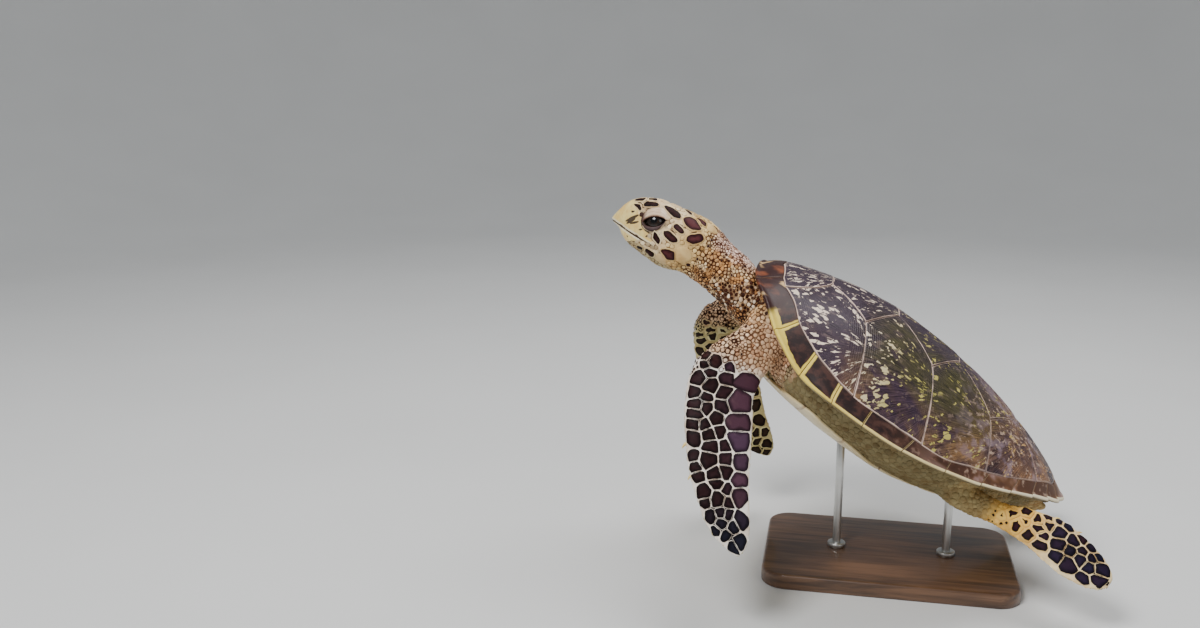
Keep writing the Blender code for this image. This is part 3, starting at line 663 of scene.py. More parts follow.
def middle_plates(last_side):
    """The five plates along the back, from front to rear."""
    front = line(*((s, -y) for s, y in (FIRST, NUCHAL_CORNER)), NUCHAL_REAR, NUCHAL_CORNER, FIRST)
    back_plate("vertebral_scute_1", front, over(BACK[0]), mirrored(first_seam), first_seam, 1, 0)
    for i in range(3):
        side, ends = line(BACK[i], KNEE[i], BACK[i + 1]), (over(BACK[i]), over(BACK[i + 1]))
        back_plate(f"vertebral_scute_{i + 2}", *ends, mirrored(side), side, 1, i + 1)
    back_plate("vertebral_scute_5", over(BACK[3]), tail_edge, mirrored(last_side), last_side, 1, 4)


def side_plates(last_side):
    """Four plates down each side, between the middle plates and the rim's inner seam."""
    feet = [(s, float(curve(s, INNER_AT))) for s in FOOT]
    seams = [line(KNEE[i], feet[i]) for i in range(3)]
    uppers = [line(BACK[0], KNEE[0]), line(KNEE[0], BACK[1], KNEE[1]), line(KNEE[1], BACK[2], KNEE[2]),
              line(KNEE[2], BACK[3])]
    lowers = [inner_line(a, b) for a, b in zip((FIRST[0], *FOOT), (*FOOT, LAST_AT))]
    fronts, rears = [reversed_run(first_seam), *seams], [*seams, last_side]
    for side, word in ((-1, "left"), (1, "right")):
        for i, runs in enumerate(zip(uppers, lowers, fronts, rears)):
            back_plate(f"costal_scute_{word}_{i + 1}", *runs, side, 5 + i)


last_side = line(BACK[3], (LAST_AT, float(curve(LAST_AT, INNER_AT))))
middle_plates(last_side)
side_plates(last_side)

# %% [markdown]
# ## Plates of the rim
#
# Twelve small plates on each side and one over the neck close the shell's edge. They could be boxes
# bent along it, but their outer edge is full and rounded, so each is a section carried along the
# edge: out over the top, round half a circle and back underneath. Towards the tail each plate's
# rear corner stands out a little, the saw edge that the species is known for.

# %% Plates of the rim
# Shares of the way from the inner seam to the outer edge at which a section has its points
RIM_REACH = np.concatenate([[.02, .035], np.linspace(.06, .955, 12)])


def rim_section(plan, t, width, way):
    """Grid (along, round) of top, half circle and underside; and the distance to the plate's ends."""
    thick = SHELL * (PLATE + (RIM - PLATE) * RIM_REACH)
    top, bottom = on_back(plan), on_back(plan)
    bottom[..., 2] -= thick
    ends = np.minimum(t, 1 - t) * width * SHELL
    soft = np.exp(-ends / .0007)[:, None]
    top[..., 2] -= .0008 * soft + .0008 * np.exp(-RIM_REACH * 60)
    bottom[..., 2] += .0008 * soft
    turn = np.linspace(0, np.pi, 9)[1:-1][None, :, None]
    middle, radius = (top[:, -1:] + bottom[:, -1:]) / 2, (top[:, -1:] - bottom[:, -1:]) / 2
    away = np.column_stack([way, np.zeros(len(way))])[:, None] * (thick[-1] * .75)
    edge = middle + radius * np.cos(turn) + away * np.sin(turn)
    return np.concatenate([top, edge, bottom[:, ::-1]], 1), ends


def rim_plate(name, inner, outer, side, seed, rear):
    """One plate swept from its front to its rear end, with the depth inside its edges as fields."""
    width = np.linalg.norm(np.diff(outer(EASED), axis=0), axis=1).sum()
    t = marks(width, 33 if "nuchal" in name else 9)
    a, b = inner(t), outer(t)
    b = b + unit(b - a) * (rear * (t - .35))[:, None]
    plan = (a[:, None] + (b - a)[:, None] * RIM_REACH[None, :, None]) * np.array([1, side])
    section, ends = rim_section(plan, t, width, unit((b - a) * np.array([1, side])))
    run = np.concatenate([[0], np.cumsum(np.linalg.norm(np.diff(section[len(t) // 2], axis=0), axis=1))])
    turn_at = len(RIM_REACH)
    outer_at = run[turn_at] + .5 * (run[turn_at + 6] - run[turn_at])
    grid = section.shape[:2]
    rows, cols = grid
    one = np.ones(grid)
    rim = np.stack([(outer_at - run) * one, ends[:, None] * one, 0 * one], -1)
    place = np.stack([plan[:, :1, 0] * one, seed * one, np.abs(section[..., 1]) / SHELL], -1)
    points = to_world(section.reshape(-1, 3))
    caps = [np.arange(cols)[None, ::-1], ((rows - 1) * cols + np.arange(cols))[None]]
    faces = outward(points, [grid_faces(rows, cols, closed=True), *caps])
    fields = {"rim": rim.reshape(-1, 3), "place": place.reshape(-1, 3)}
    piece = add_piece(name + "_horn", points, faces, rim_horn, fields)
    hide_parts(name)


def nuchal_plate():
    """The wide plate over the neck."""
    ends = outline(.010, 0)(np.linspace(0, 1, 5))
    inner = line((NUCHAL_CORNER[0], -NUCHAL_CORNER[1]), NUCHAL_REAR, NUCHAL_CORNER)
    outer = line(*(ends * [1, -1]), (0, -.03), (0, .03), *ends[::-1])
    rim_plate("nuchal_scute", inner, outer, 1, .5, 0)


def side_rim():
    """Eleven plates and a tail plate down each side."""
    inner_at, outer_at = (FIRST[0], *RIM_INNER, INNER_AT[0][-1]), (.010, *RIM_OUTER, 1.0)
    for side, word in ((-1, "left"), (1, "right")):
        for i in range(12):
            inner, outer = inner_line(inner_at[i], inner_at[i + 1]), outline(outer_at[i], outer_at[i + 1])
            if i == 0:
                inner = line(NUCHAL_CORNER, FIRST, (.111, .196), (RIM_INNER[0], .249))
            if i == 11:
                outer = line(*outline(outer_at[11], 1)(np.linspace(0, 1, 5)), (1, .010), (1, 0))
            name = f"marginal_scute_{word}_{i + 1}" if i < 11 else f"supracaudal_scute_{word}"
            rim_plate(name, inner, outer, side, i + (side > 0) * 20, .005 * (i > 5) + .003 * (i > 8))


nuchal_plate()
side_rim()

# %% [markdown]
# ## Skin material
#
# A turtle's skin is dry and horny, with dark scales framed by pale borders. Skin and scales could
# have a material each, but then their markings would have to be matched. Here they share one: each
# mesh carries two colours, `pale` and `dark`, and the depth `ink` in metres inside a dark marking,
# so a scale and the skin beneath it agree.

# %% Skin material
def skin_looks():
    """Pale skin turning dark where ink is above nought, mottled, with fine grain and pores."""
    looks = Looks("turtle_skin")
    pale, dark, ink = looks.field("pale", "Color"), looks.field("dark", "Color"), looks.field("ink")
    world = looks.place()
    mottle = looks.noise(world, 55.0, 4.0, .6, .4)
    grain = looks.noise(world, 420.0, 3.0, .6)
    pores = looks.cells(world, 620.0)
    line = ink + (looks.noise(world, 260.0, 2.0) - .5) * .0011
    core = line.step(-.00030, .00045)
    depth = (ink + (mottle - .5) * .0050).step(.0006, .0064)
    deep = depth.mix(dark.stretched(.45, .43, .45), dark.stretched(1.7, 1.6, 1.6))
    deep = (mottle.step(.58, .74) * depth * .40).mix(deep, dark.stretched(2.9, 3.4, 2.3))
    shade = (mottle.step(.30, .60)).mix(pale.stretched(.80, .70, .62), pale)
    shade = (grain.step(.62, .82) * .25).mix(shade, pale.stretched(.62, .48, .40))
    colour = core.mix(shade, deep)
    height = grain * .5 + mottle * .9 + pores * .35
    normal = looks.bump(height, .45, .0006)
    rough = .52 + grain * .16 - core * .08
    return looks.finish(Base_Color=colour, Roughness=rough, Normal=normal, Specular_IOR_Level=.09)


turtle_skin = skin_looks()
print("skin:", len(turtle_skin.node_tree.nodes), "nodes")

# %% [markdown]
# ## The skin's surface
#
# The body under the shell, the neck, the head and the tail could be sculpted. Here each is a closed
# tube through rings of equal count, because the height and width of a ring are easy to measure and
# to correct one at a time. The tubes run into each other, and become one surface later on.

# %% Rings of the trunk, neck, head and tail
CLEAR = .0028
INNER_ALL = ((.030, .046, .060) + INNER_AT[0], (.0, .0, .115) + INNER_AT[1])
NECK_AT = (-.635, -.60, -.565, -.53, -.50, -.46, -.42, -.38)
NECK_TOP = (.010, .000, -.003, -.006, -.017, -.024, -.030, -.040)
NECK_LOW = (-.142, -.139, -.141, -.145, -.152, -.160, -.160, -.150)
NECK_HALF = (.078, .077, .080, .088, .100, .112, .112, .100)
HEAD_TOP = ((-.8995, -.8954, -.884, -.870, -.841, -.822, -.766, -.708, -.660, -.635),
            (-.1440, -.1075, -.0714, -.0540, -.0321, -.0211, -.0056, .0077, .0140, .0100))
HEAD_LOW = ((-.8995, -.885, -.868, -.860, -.845, -.810, -.770, -.730, -.690, -.635),
            (-.1455, -.1480, -.1500, -.1540, -.1630, -.1700, -.1695, -.1686, -.1575, -.1420))
HEAD_HALF = ((-.8995, -.895, -.885, -.860, -.830, -.795, -.760, -.720, -.680, -.635),
             (.003, .010, .0190, .0340, .0480, .0600, .0705, .0800, .0830, .0780))
HEAD_WAIST = -.105
MOUTH_AT = ((-.8995, -.853, -.818, -.782, -.757, -.740, -.722),
            (-.1455, -.1370, -.1305, -.1240, -.1200, -.1215, -.1300))
SHEATH_TOP, SHEATH_END, JAW_END = (-.864, -.062), -.752, -.790
TAIL_AT = ((.400, .430, .455, .472, .485, .497), (.040, .034, .028, .022, .014, .004),
           (-.052, -.048, -.046, -.046, -.048, -.053))
AROUND = np.arange(72) * 2 * np.pi / 72


def ellipse_ring(x, low, high, half):
    """Upright ring at x, from low to high and from -half to half: an ellipse."""
    tall = (high + low) / 2 + (high - low) / 2 * np.sin(AROUND)
    return SHELL * np.column_stack([np.full(72, x), half * np.cos(AROUND), tall])


def under_height(s, y):
    """Height of the trunk's lower face, from the belly out to the flank."""
    edge = -SAG * curve(s, SAG_AT) - .030
    reach = np.clip(np.abs(y) / curve(s, FLANK_AT), 0, 1)
    return edge + (-curve(s, BELLY_AT) - edge) * (1 - reach ** 2.8) ** .62


def trunk_ring(s):
    """One cross section: the back under the plates, a shelf under the rim, flank and belly."""
    edge = .93 * half_width(s)
    flank = min(curve(s, FLANK_AT), edge * .96)
    top = edge * np.linspace(0, 1, 26)
    inner = curve(s, INNER_ALL)
    reach = np.clip((top - inner) / (edge - inner), 0, 1)
    cover = PLATE + CLEAR * (1 + ease(s, .86, .90)) + (RIM - PLATE + .001) * reach ** .7
    upper = np.stack([top, back_height(s, top) - cover], 1)
    shelf = np.array([[edge - .004, upper[-1, 1] - .010]])
    low = flank * np.sin(np.linspace(np.pi / 2, 0, 30))
    lower = np.stack([low, under_height(s, low)], 1)
    lower[0, 1] = min(lower[0, 1], shelf[0, 1] - .001)
    half = np.concatenate([upper, shelf, lower])
    whole = np.concatenate([half, half[-2:0:-1] * [-1, 1]])
    return SHELL * np.column_stack([np.full(len(whole), s - .5), whole])


def head_ring(x):
    """Section of the head: flat-topped above, round-cheeked below, turning into the neck's oval."""
    high, low, half = (curve(x, table) for table in (HEAD_TOP, HEAD_LOW, HEAD_HALF))
    waist = low + (high - low) * (HEAD_WAIST + .1700) / .1640
    cos, sin = np.cos(AROUND), np.sin(AROUND)
    tall = np.where(sin > 0, high - waist, waist - low) * np.sign(sin) * np.abs(sin) ** .80
    made = SHELL * np.column_stack([np.full(72, x), half * np.sign(cos) * np.abs(cos) ** .85, waist + tall])
    blend = ease(x, -.70, -.635)
    return made + blend * (ellipse_ring(x, NECK_LOW[0], NECK_TOP[0], NECK_HALF[0]) - made)


def tube(rings):
    """Closed tube through rings of equal point counts: (points, faces as lists, the two caps last)."""
    count, around = len(rings), len(rings[0])
    caps = [list(range(around))[::-1], list(range((count - 1) * around, count * around))]
    return np.concatenate(rings), grid_faces(count, around, closed=True).tolist() + caps


def tube_faces(points, faces):
    """A tube's quads and its two caps as arrays, facing outwards."""
    return outward(points, [np.array(faces[:-2]), *(np.array([cap]) for cap in faces[-2:])])


print("head from beak to neck", round(SHELL * (HEAD_TOP[0][-1] - HEAD_TOP[0][0]), 3), "m")

# %% [markdown]
# ## Limbs
#
# A flipper is a blade that is thick at its leading edge, with its joints hidden inside. Bones and a
# rig could bend one straight flipper into every pose, but this model keeps one pose, so each limb is
# placed by its root, its span and its chord, and its outline is a table along the span.

# %% Rings of the limbs
# Reach along the limb, trailing edge, leading edge, thickness and lift, in shell lengths
FRONT_LIMB = ((-.12, -.080, .020, .090, 0), (-.06, -.085, .060, .100, 0), (-.02, -.060, .125, .095, .002),
              (.02, -.035, .170, .082, .003), (.055, -.008, .187, .066, .003), (.09, .014, .196, .053, .002),
              (.13, .027, .202, .045, 0), (.185, .033, .206, .038, -.003), (.25, .040, .202, .031, -.006),
              (.32, .047, .192, .026, -.007), (.375, .050, .177, .022, -.005), (.435, .050, .155, .018, 0),
              (.475, .055, .126, .014, .005), (.498, .068, .100, .010, .008), (.507, .078, .088, .007, .009))
HIND_LIMB = ((-.12, -.030, .030, .050, 0), (-.06, -.042, .034, .062, 0), (.01, -.034, .034, .056, 0),
             (.05, -.026, .040, .044, 0), (.09, -.030, .062, .034, 0), (.14, -.038, .078, .027, .001),
             (.19, -.048, .083, .023, .002), (.24, -.058, .073, .019, .003), (.29, -.055, .056, .015, .003),
             (.325, -.040, .036, .012, .002), (.342, -.022, .014, .008, .001))


def turned(vector, axis, degrees):
    """The vector turned about a unit axis: v cos + (a x v) sin + a (a.v)(1 - cos)."""
    vector, axis, angle = np.array(vector, float), unit(axis), math.radians(degrees)
    return (vector * math.cos(angle) + np.cross(axis, vector) * math.sin(angle)
            + axis * (axis @ vector) * (1 - math.cos(angle)))


class Limb:
    """A rounded blade along a span, with its chord from trailing edge to leading edge."""

    def __init__(self, rows, origin, span, chord, upper):
        self.rows, self.table = rows, np.array(rows).T
        self.origin, self.span = np.array(origin, float), unit(span)
        self.chord = unit(np.array(chord, float) - (np.array(chord, float) @ self.span) * self.span)
        self.out = np.cross(self.span, self.chord)
        self.upper = upper      # +1 where the back of the limb faces along out, -1 where it faces away

    def rings(self, start, end, count):
        """Rounded sections from start to end, fuller towards the leading edge."""
        reach = np.linspace(start, end, count)
        trail, lead, thick, lift = (curve(reach, self.table[[0, k]])[:, None] for k in (1, 2, 3, 4))
        across = (trail + lead) / 2 + (lead - trail) / 2 * np.cos(AROUND)
        full = np.sign(np.sin(AROUND)) * np.abs(np.sin(AROUND)) ** .8 * (1 + .25 * np.cos(AROUND))
        above = lift + thick / 2 * full
        return SHELL * (self.origin + reach[:, None, None] * self.span + across[..., None] * self.chord
                        + above[..., None] * self.out)

    def place(self, points):
        """(reach, chord, height) of body points, in shell lengths."""
        away = points - self.origin
        return away @ self.span, away @ self.chord, away @ self.out

    def inside(self, points, slack=.03):
        """1 on the limb and 0 elsewhere, by its outline with a little slack."""
        u, v, w = self.place(points)
        trail, lead = curve(u, self.table[:2]), curve(u, self.table[[0, 2]])
        thick = curve(u, self.table[[0, 3]])
        beside = (v > trail - slack) & (v < lead + slack)
        return beside & (np.abs(w) < thick / 2 + slack) & (u < self.rows[-1][0] + .02)

    def share(self, points, slack, soft):
        """1 on the limb, falling to 0 over the distance soft at its outline grown by slack."""
        u, v, w = self.place(points)
        trail, lead, thick = (curve(u, self.table[[0, k]]) for k in (1, 2, 3))
        beside = np.maximum(trail - v, v - lead)
        above = np.abs(w) - thick / 2
        return ease(np.maximum(beside, above), slack, slack - soft) * (u < self.rows[-1][0] + .02)


# Root, span and chord of the front limbs; side and span of the hind ones
LEFT_FRONT = ((-.370, -.235, -.130), (.582, -.528, -.618), (-.794, -.208, -.571))
RIGHT_FRONT = ((-.449, .225, -.147), (.781, .186, -.596), (-.600, -.100, -.794))
HIND_SPANS = ((-1, (.932, -.301, .201)), (1, (.840, .500, .140)))
LIMBS = {"front_left": Limb(FRONT_LIMB, *LEFT_FRONT, -1), "front_right": Limb(FRONT_LIMB, *RIGHT_FRONT, 1)}
for side, span in HIND_SPANS:
    facing = turned((-.111, -.291 * side, .950), span, 30 * side)
    made = Limb(HIND_LIMB, (.300, .200 * side, -.112), span, facing, 1)
    made.upper = 1 if made.out[1] * side > 0 else -1
    LIMBS["hind_left" if side < 0 else "hind_right"] = made
SHOULDER = Limb(FRONT_LIMB, *(np.array(v) * (1, -1, 1) for v in LEFT_FRONT), 1)
print("metres from root to tip", {name: round(SHELL * limb.rows[-1][0], 3) for name, limb in LIMBS.items()})

# %% [markdown]
# ## Eyes
#
# A turtle's eyes look sideways and a little forward under a heavy upper lid. Each has a frame of its
# own: one way along the slit towards the back of the head, one up across it and one outward. The
# lids are parts of an ellipsoid about the ball, so the skin bulges around the eye. The frame comes
# first because the skin, the markings, the lids and the ball all measure from it.

# %% Eye frames
# Middle of an eye in shell lengths; then, in metres, the ball, half the slit and half its open part,
# and how far the lids stand out, up and down
EYE_AT = np.array([-.791, .0325, -.072])
BALL = .0138
SLIT, OPEN, LID_OUT, LID_UP, LID_DOWN = .0178, .0140, .0150, .0205, .0165


def eye_frame(side):
    """Centre in metres and the unit vectors back, up and out of one eye in the body frame."""
    out = unit((-.30, .92 * side, .25))
    back = np.array([.76, 0, .65])
    back = unit(back - (back @ out) * out)
    up = np.cross(back, out)
    return SHELL * EYE_AT * (1, side, 1), back, up * np.sign(up[2]), out


def eye_place(points, side):
    """Distances (back, up, out) in metres of body points from the middle of one eye."""
    centre, *ways = eye_frame(side)
    away = points - centre
    return [away @ way for way in ways]


def opening(x):
    """How far the lids are open at distance x along the slit: 1 in the middle, 0 at the corners."""
    return (1 - np.clip(np.abs(x) / OPEN, 0, 1) ** 2) ** .5


def lid_margin(x, upper):
    """Angle of a lid's edge about the slit, from straight out (0) towards straight up."""
    return np.radians(-2 + 15 * opening(x)) if upper else np.radians(-2 - 30 * opening(x))


def lid_bulge(side):
    """The closed ellipsoid that the lids belong to, a little smaller."""
    centre, back, up, out = eye_frame(side)
    turn = np.linspace(0, np.pi, 24)[:, None]
    around = AROUND[None, ::2]
    x = np.cos(turn) * (SLIT - .0005) * np.ones_like(around)
    tall = np.sin(turn) * np.sin(around)
    y = tall * np.where(tall > 0, LID_UP, LID_DOWN) * .965
    z = np.sin(turn) * np.cos(around) * (LID_OUT - .0007)
    grid = centre + x[..., None] * back + y[..., None] * up + z[..., None] * out
    return list(grid[1:-1])


print("eyeball", round(2000 * BALL, 1), "mm across")

# %% [markdown]
# ## One skin
#
# Tubes that only touch would show a seam at every joint. So all of them are joined, wrapped by an
# even remesh and relaxed: $p \leftarrow p + a(\bar p - p)$, with $\bar p$ the mean of the
# neighbours, most where two tubes meet. Folds are ridges across the neck and round the shoulders.

# %% Remeshing and smoothing
def modified(points, faces, corners, kind, **settings):
    """Points and faces, all of one corner count, after one modifier of that kind."""
    mesh = bpy.data.meshes.new("shells")
    mesh.from_pydata(points.tolist(), [], faces)
    holder = bpy.data.objects.new("shells", mesh)
    bpy.context.scene.collection.objects.link(holder)
    step = holder.modifiers.new("step", kind)
    for key, value in settings.items():
        setattr(step, key, value)
    made = bpy.data.meshes.new_from_object(holder.evaluated_get(bpy.context.evaluated_depsgraph_get()))
    spots, found = np.empty(len(made.vertices) * 3), np.empty(len(made.polygons) * corners, int)
    made.vertices.foreach_get("co", spots)
    made.polygons.foreach_get("vertices", found)
    bpy.data.objects.remove(holder)
    return spots.reshape(-1, 3), found.reshape(-1, corners)


def remeshed(points, faces, size):
    """Points and quads of one even closed surface round all the given closed shells."""
    return modified(points, faces, 4, "REMESH", mode="VOXEL", voxel_size=size)


def thinned(points, faces, count):
    """About that many triangles of the surface: the flattest places give up the most."""
    share = count / (2 * len(faces))
    return modified(points, faces.tolist(), 3, "DECIMATE", ratio=share, use_collapse_triangulate=True)


def surface_normals(points, faces):
    """Unit normals at the points: the sum of the cross products of each face's diagonals."""
    across = np.cross(points[faces[:, 2]] - points[faces[:, 0]], points[faces[:, -1]] - points[faces[:, 1]])
    corners, size = faces.ravel(), faces.shape[1]
    sums = [np.bincount(corners, np.repeat(across[:, k], size), len(points)) for k in range(3)]
    return unit(np.stack(sums, 1))


def relaxed(points, quads, amount, steps):
    """Each point moved by its amount towards the mean of its neighbours, again and again."""
    a, b = quads.ravel(), np.roll(quads, -1, 1).ravel()
    degree = np.bincount(a, minlength=len(points))[:, None]
    for _ in range(steps):
        mean = np.stack([np.bincount(a, points[b, k], len(points)) for k in range(3)], 1) / degree
        points = points + amount[:, None] * (mean - points)
    return points


def body_tubes():
    """Rings of the trunk, the neck, the head and the tail."""
    trunk = [trunk_ring(s) for s in np.linspace(.035, .965, 90)]
    neck = [ellipse_ring(x, *(curve(x, (NECK_AT, row)) for row in (NECK_LOW, NECK_TOP, NECK_HALF)))
            for x in np.linspace(-.65, -.38, 34)]
    head_at = np.concatenate([-.8995 + .03 * np.linspace(0, 1, 14) ** 2, np.linspace(-.865, -.625, 40)])
    tail_at = np.linspace(.40, .497, 20)
    tail = [ellipse_ring(x, high - 1.7 * half, high, half)
            for x, half, high in zip(tail_at, *(curve(tail_at, (TAIL_AT[0], row)) for row in TAIL_AT[1:]))]
    return [trunk, neck, [head_ring(x) for x in head_at], tail]


def flesh():
    """All tubes of flesh as one set of closed shells, in metres of the body frame."""
    starts = {"front_left": -.12, "front_right": -.02, "hind_left": -.12, "hind_right": -.12}
    limbs = [list(limb.rings(starts[name], limb.rows[-1][0], 80)) for name, limb in LIMBS.items()]
    tubes = [*body_tubes(), *limbs, list(SHOULDER.rings(-.12, -.03, 10)), lid_bulge(-1), lid_bulge(1)]
    points, faces, start = [], [], 0
    for rings in tubes:
        spots, closed = tube(rings)
        points.append(spots)
        faces += [[i + start for i in face] for face in closed]
        start += len(spots)
    return np.concatenate(points), faces


# Size of the remesh and how deep the skin lies under its scales, in metres
VOXEL, COAT = .0013, .0005
skin_at, skin_quads = remeshed(*flesh(), VOXEL)
print("skin", len(skin_at), "points")

# %% Joints and folds
def near(points, centre, radius):
    """1 at the centre, falling smoothly to 0 at the radius; points and centre in shell lengths."""
    return ease(np.linalg.norm(points - np.array(centre), axis=-1), radius, radius * .4)


def joint_weight(points):
    """How much each body point is rounded over: most where two tubes meet."""
    x, y, z = points.T
    weight = ease(x, -.57, -.53) * ease(x, -.36, -.42)
    for limb in LIMBS.values():
        u = limb.place(points)[0]
        weight = np.maximum(weight, limb.inside(points, .09) * ease(u, .09, .02))
    weight = np.maximum(weight, ease(x, .36, .40) * ease(x, .47, .44))
    beside_eyes = np.maximum(near(points, (-.791, -.09, -.03), .06), near(points, (-.791, .09, -.03), .06))
    return np.maximum(weight, .9 * beside_eyes)


def throat_folds(at):
    """Height of the folds across the throat, in metres: sharp troughs |sin|^0.7 at an even spacing."""
    x, y, z = at.T
    along = x + .12 * z + .010 * ripple(at, .09, 4)
    folds = np.abs(np.sin(along * np.pi / .021)) ** .7 - .6
    throat = ease(x, -.665, -.60) * ease(x, -.44, -.50) * ease(z, .0, -.07)
    return .0019 * folds * throat


def limb_folds(at):
    """Height of the creases round the roots of the limbs, in metres."""
    lift = 0
    for name, limb in LIMBS.items():
        u, v, w = limb.place(at)
        if "front" in name:
            pit = limb.inside(at, .08) * ease(u, .10, .03) * ease(u, -.12, -.02)
            crease = np.abs(np.sin((u + .25 * v + .012 * ripple(at, .07, 9)) * np.pi / .026)) ** .7 - .6
            lift = lift + .0014 * crease * pit
        else:
            pit = limb.inside(at, .06) * ease(u, .08, .04) * ease(u, -.10, -.02)
            crease = np.abs(np.sin((u + .010 * ripple(at, .06, 3)) * np.pi / .020)) - .6
            lift = lift + .0007 * crease * pit
    return lift


def shape_skin(points, quads):
    """Rounds the joints, raises the folds and sinks the skin by the depth of its scales."""
    points = relaxed(points, quads, np.full(len(points), .5), 6)
    points = relaxed(points, quads, .5 * joint_weight(points / SHELL), 45)
    at, normals = points / SHELL, surface_normals(points, quads)
    lift = throat_folds(at) + limb_folds(at) - COAT + .00018 * ripple(at, .022, 5)
    return points + lift[:, None] * normals


def make_room(points):
    """Pushes the skin back behind the eyeballs, where the lids are open."""
    slack = np.radians(7)
    for side in (-1, 1):
        x, y, z = eye_place(points, side)
        angle = np.arctan2(y, np.maximum(z, 1e-6))
        gap = (angle < lid_margin(x, True) + slack) & (angle > lid_margin(x, False) - slack)
        gap &= (np.abs(x) < OPEN + .0005) & (z > 0) & (np.sqrt(x ** 2 + y ** 2 + z ** 2) < .022)
        room = np.sqrt(np.maximum((BALL - .0012) ** 2 - x ** 2 - y ** 2, .003 ** 2))
        points = points - (np.where(gap, np.maximum(z - room, 0), 0))[:, None] * eye_frame(side)[3]
    return points


skin_at = make_room(shape_skin(skin_at, skin_quads))
skin_normal = surface_normals(skin_at, skin_quads)
skin_tree = BVHTree.FromPolygons(skin_at.tolist(), skin_quads.tolist())


def snapped(points):
    """Nearest points of the skin and its normals there, body metres."""
    hits = [skin_tree.find_nearest(p) for p in np.asarray(points).tolist()]
    where = np.array([tuple(h[0]) for h in hits])
    return where, unit(skin_normal[skin_quads[[h[2] for h in hits]]].mean(1))


print("skin from", to_world(skin_at).min(0).round(3), "to", to_world(skin_at).max(0).round(3), "m")

# %% [markdown]
# ## Colours by region
#
# A hawksbill is cream and tan on the head, orange-tan on the neck, cream round near-black on the
# flippers and olive-yellow beneath, and the body's underside is painted a darker olive as shade. A
# painter would lay broad washes first and fine marks last, and the functions here do the same: each
# takes the pale and dark colours of some body points and blends its own region over them. Skin and
# scales call the same functions, so they always agree.

# %% Washes and lines
LINE_TINT, SOFT_TINT, HEAD_TINT = (.24, .12, .075), (.50, .36, .27), (.72, .58, .46)


def blend(base, colour, share):
    """The base colours moved by their shares towards one colour."""
    return base + np.asarray(share)[:, None] * (np.array(colour) - base)


def neck_stain(at):
    """1 in the dark patches on each side of the neck, next to the shell, and 0 elsewhere."""
    patches = (((-.480, .105, -.060), .060), ((-.525, .088, -.110), .055))
    return sum(np.maximum(*(near(side, *patch) for patch in patches)) for side in (at, at * (1, -1, 1)))


def throat(at):
    """1 on the lower side of the neck, 0 above it."""
    x, y, z = at.T
    return ease(z, -.085, -.112) * ease(x, -.63, -.59)


def line_colour(at, pale, dark, border):
    """Colour of the dark parts: brown lines from the pale colour where the border is negative, near black on
    the throat as painted shade in its folds.
    """
    x, y, z = at.T
    neck = ease(x, -.40, -.46) * ease(x, -.69, -.64)
    tint = blend(np.tile(SOFT_TINT, (len(at), 1)), LINE_TINT, neck)
    # Painted shade: the throat's lines go near black, the shadow in its folds.
    tint = blend(tint, (.09, .035, .020), neck * throat(at))
    tint = blend(tint, HEAD_TINT, ease(x, -.655, -.69))
    return np.where(np.asarray(border)[:, None] < 0, pale * tint, dark)


def beak_share(at):
    """1 under the beak's horn, below the slanting edge of the sheath or at the jaw's tip; 0 elsewhere."""
    x, y, z = at.T
    low, high = float(curve(SHEATH_END, MOUTH_AT)), SHEATH_TOP[1]
    edge = SHEATH_END + (SHEATH_TOP[0] - SHEATH_END) * (z - low) / (high - low)
    mouth = curve(x, MOUTH_AT)
    upper = ease(edge - x, .001, .007) * (z > mouth - .002)
    lower = ease(JAW_END + (mouth - z) * -.9 - x, .001, .006) * (z < mouth)
    return np.maximum(upper, lower)


print("share of the skin under the beak", float((beak_share(skin_at / SHELL) > .5).mean().round(3)))

# %% Neck and head
def neck_tones(at, pale, dark, noise, fine):
    """Orange-tan with a lighter nape, a dark throat and dark patches beside the shell."""
    x, y, z = at.T
    neck = ease(x, -.40, -.47)
    pale = blend(pale, (.66, .34, .13), neck)
    pale = blend(pale, (.84, .60, .34), neck * np.clip(.45 + .55 * noise, 0, 1))
    pale = blend(pale, (.80, .56, .46), neck * ease(z, -.035, -.008) * ease(x, -.47, -.52))
    pale = blend(pale, (.36, .15, .06), neck * throat(at) * np.clip(.25 - .7 * fine, 0, .8))
    dark = blend(dark, (.085, .022, .010), neck)
    return blend(pale, (.09, .028, .014), .85 * neck_stain(at) * np.clip(.7 + .6 * fine, 0, 1)), dark


def head_tones(at, pale, dark, head):
    """Tan to cream, with painted shade under the chin, and dark plates that turn wine red to the rear."""
    x, y, z = at.T
    pale = blend(pale, (.74, .52, .23), head)
    pale = blend(pale, (.84, .66, .40), head * ease(x, -.70, -.76))
    # Painted shade: darker and duller under the chin.
    pale = blend(pale, (.50, .40, .22), head * ease(z, -.132, -.150))
    dark = blend(dark, (.017, .0050, .0048), head)
    return pale, blend(dark, (.056, .016, .018), head * ease(x, -.755, -.70))


def eye_tones(at, pale):
    """A dark ring round each eye, painted shade in the crease round the lids; a cream one outside it; and
    painted shade behind the lids.
    """
    for side in (-1, 1):
        x, y, z = eye_place(at * SHELL, side)
        ring = np.hypot(x / SLIT, y / np.where(y > 0, LID_UP, LID_DOWN))
        ahead = (z > 0) * (.25 + .75 * ease(-x / SLIT - .8 * (y > 0) * y / LID_UP, -.1, .5))
        # Painted shade: a dark ring in the crease round the lids.
        pale = blend(pale, (.045, .018, .014), np.exp(-((ring - 1.02) / .10) ** 2) * ahead)
        pale = blend(pale, (.90, .76, .52), np.exp(-((ring - 1.22) / .09) ** 2) * ahead * .8)
        # Painted shade: near black behind the lids, inside the eye's socket.
        pale = blend(pale, (.03, .012, .012), (ring < .86) * (z > 0) * (z < .0125))
    return pale


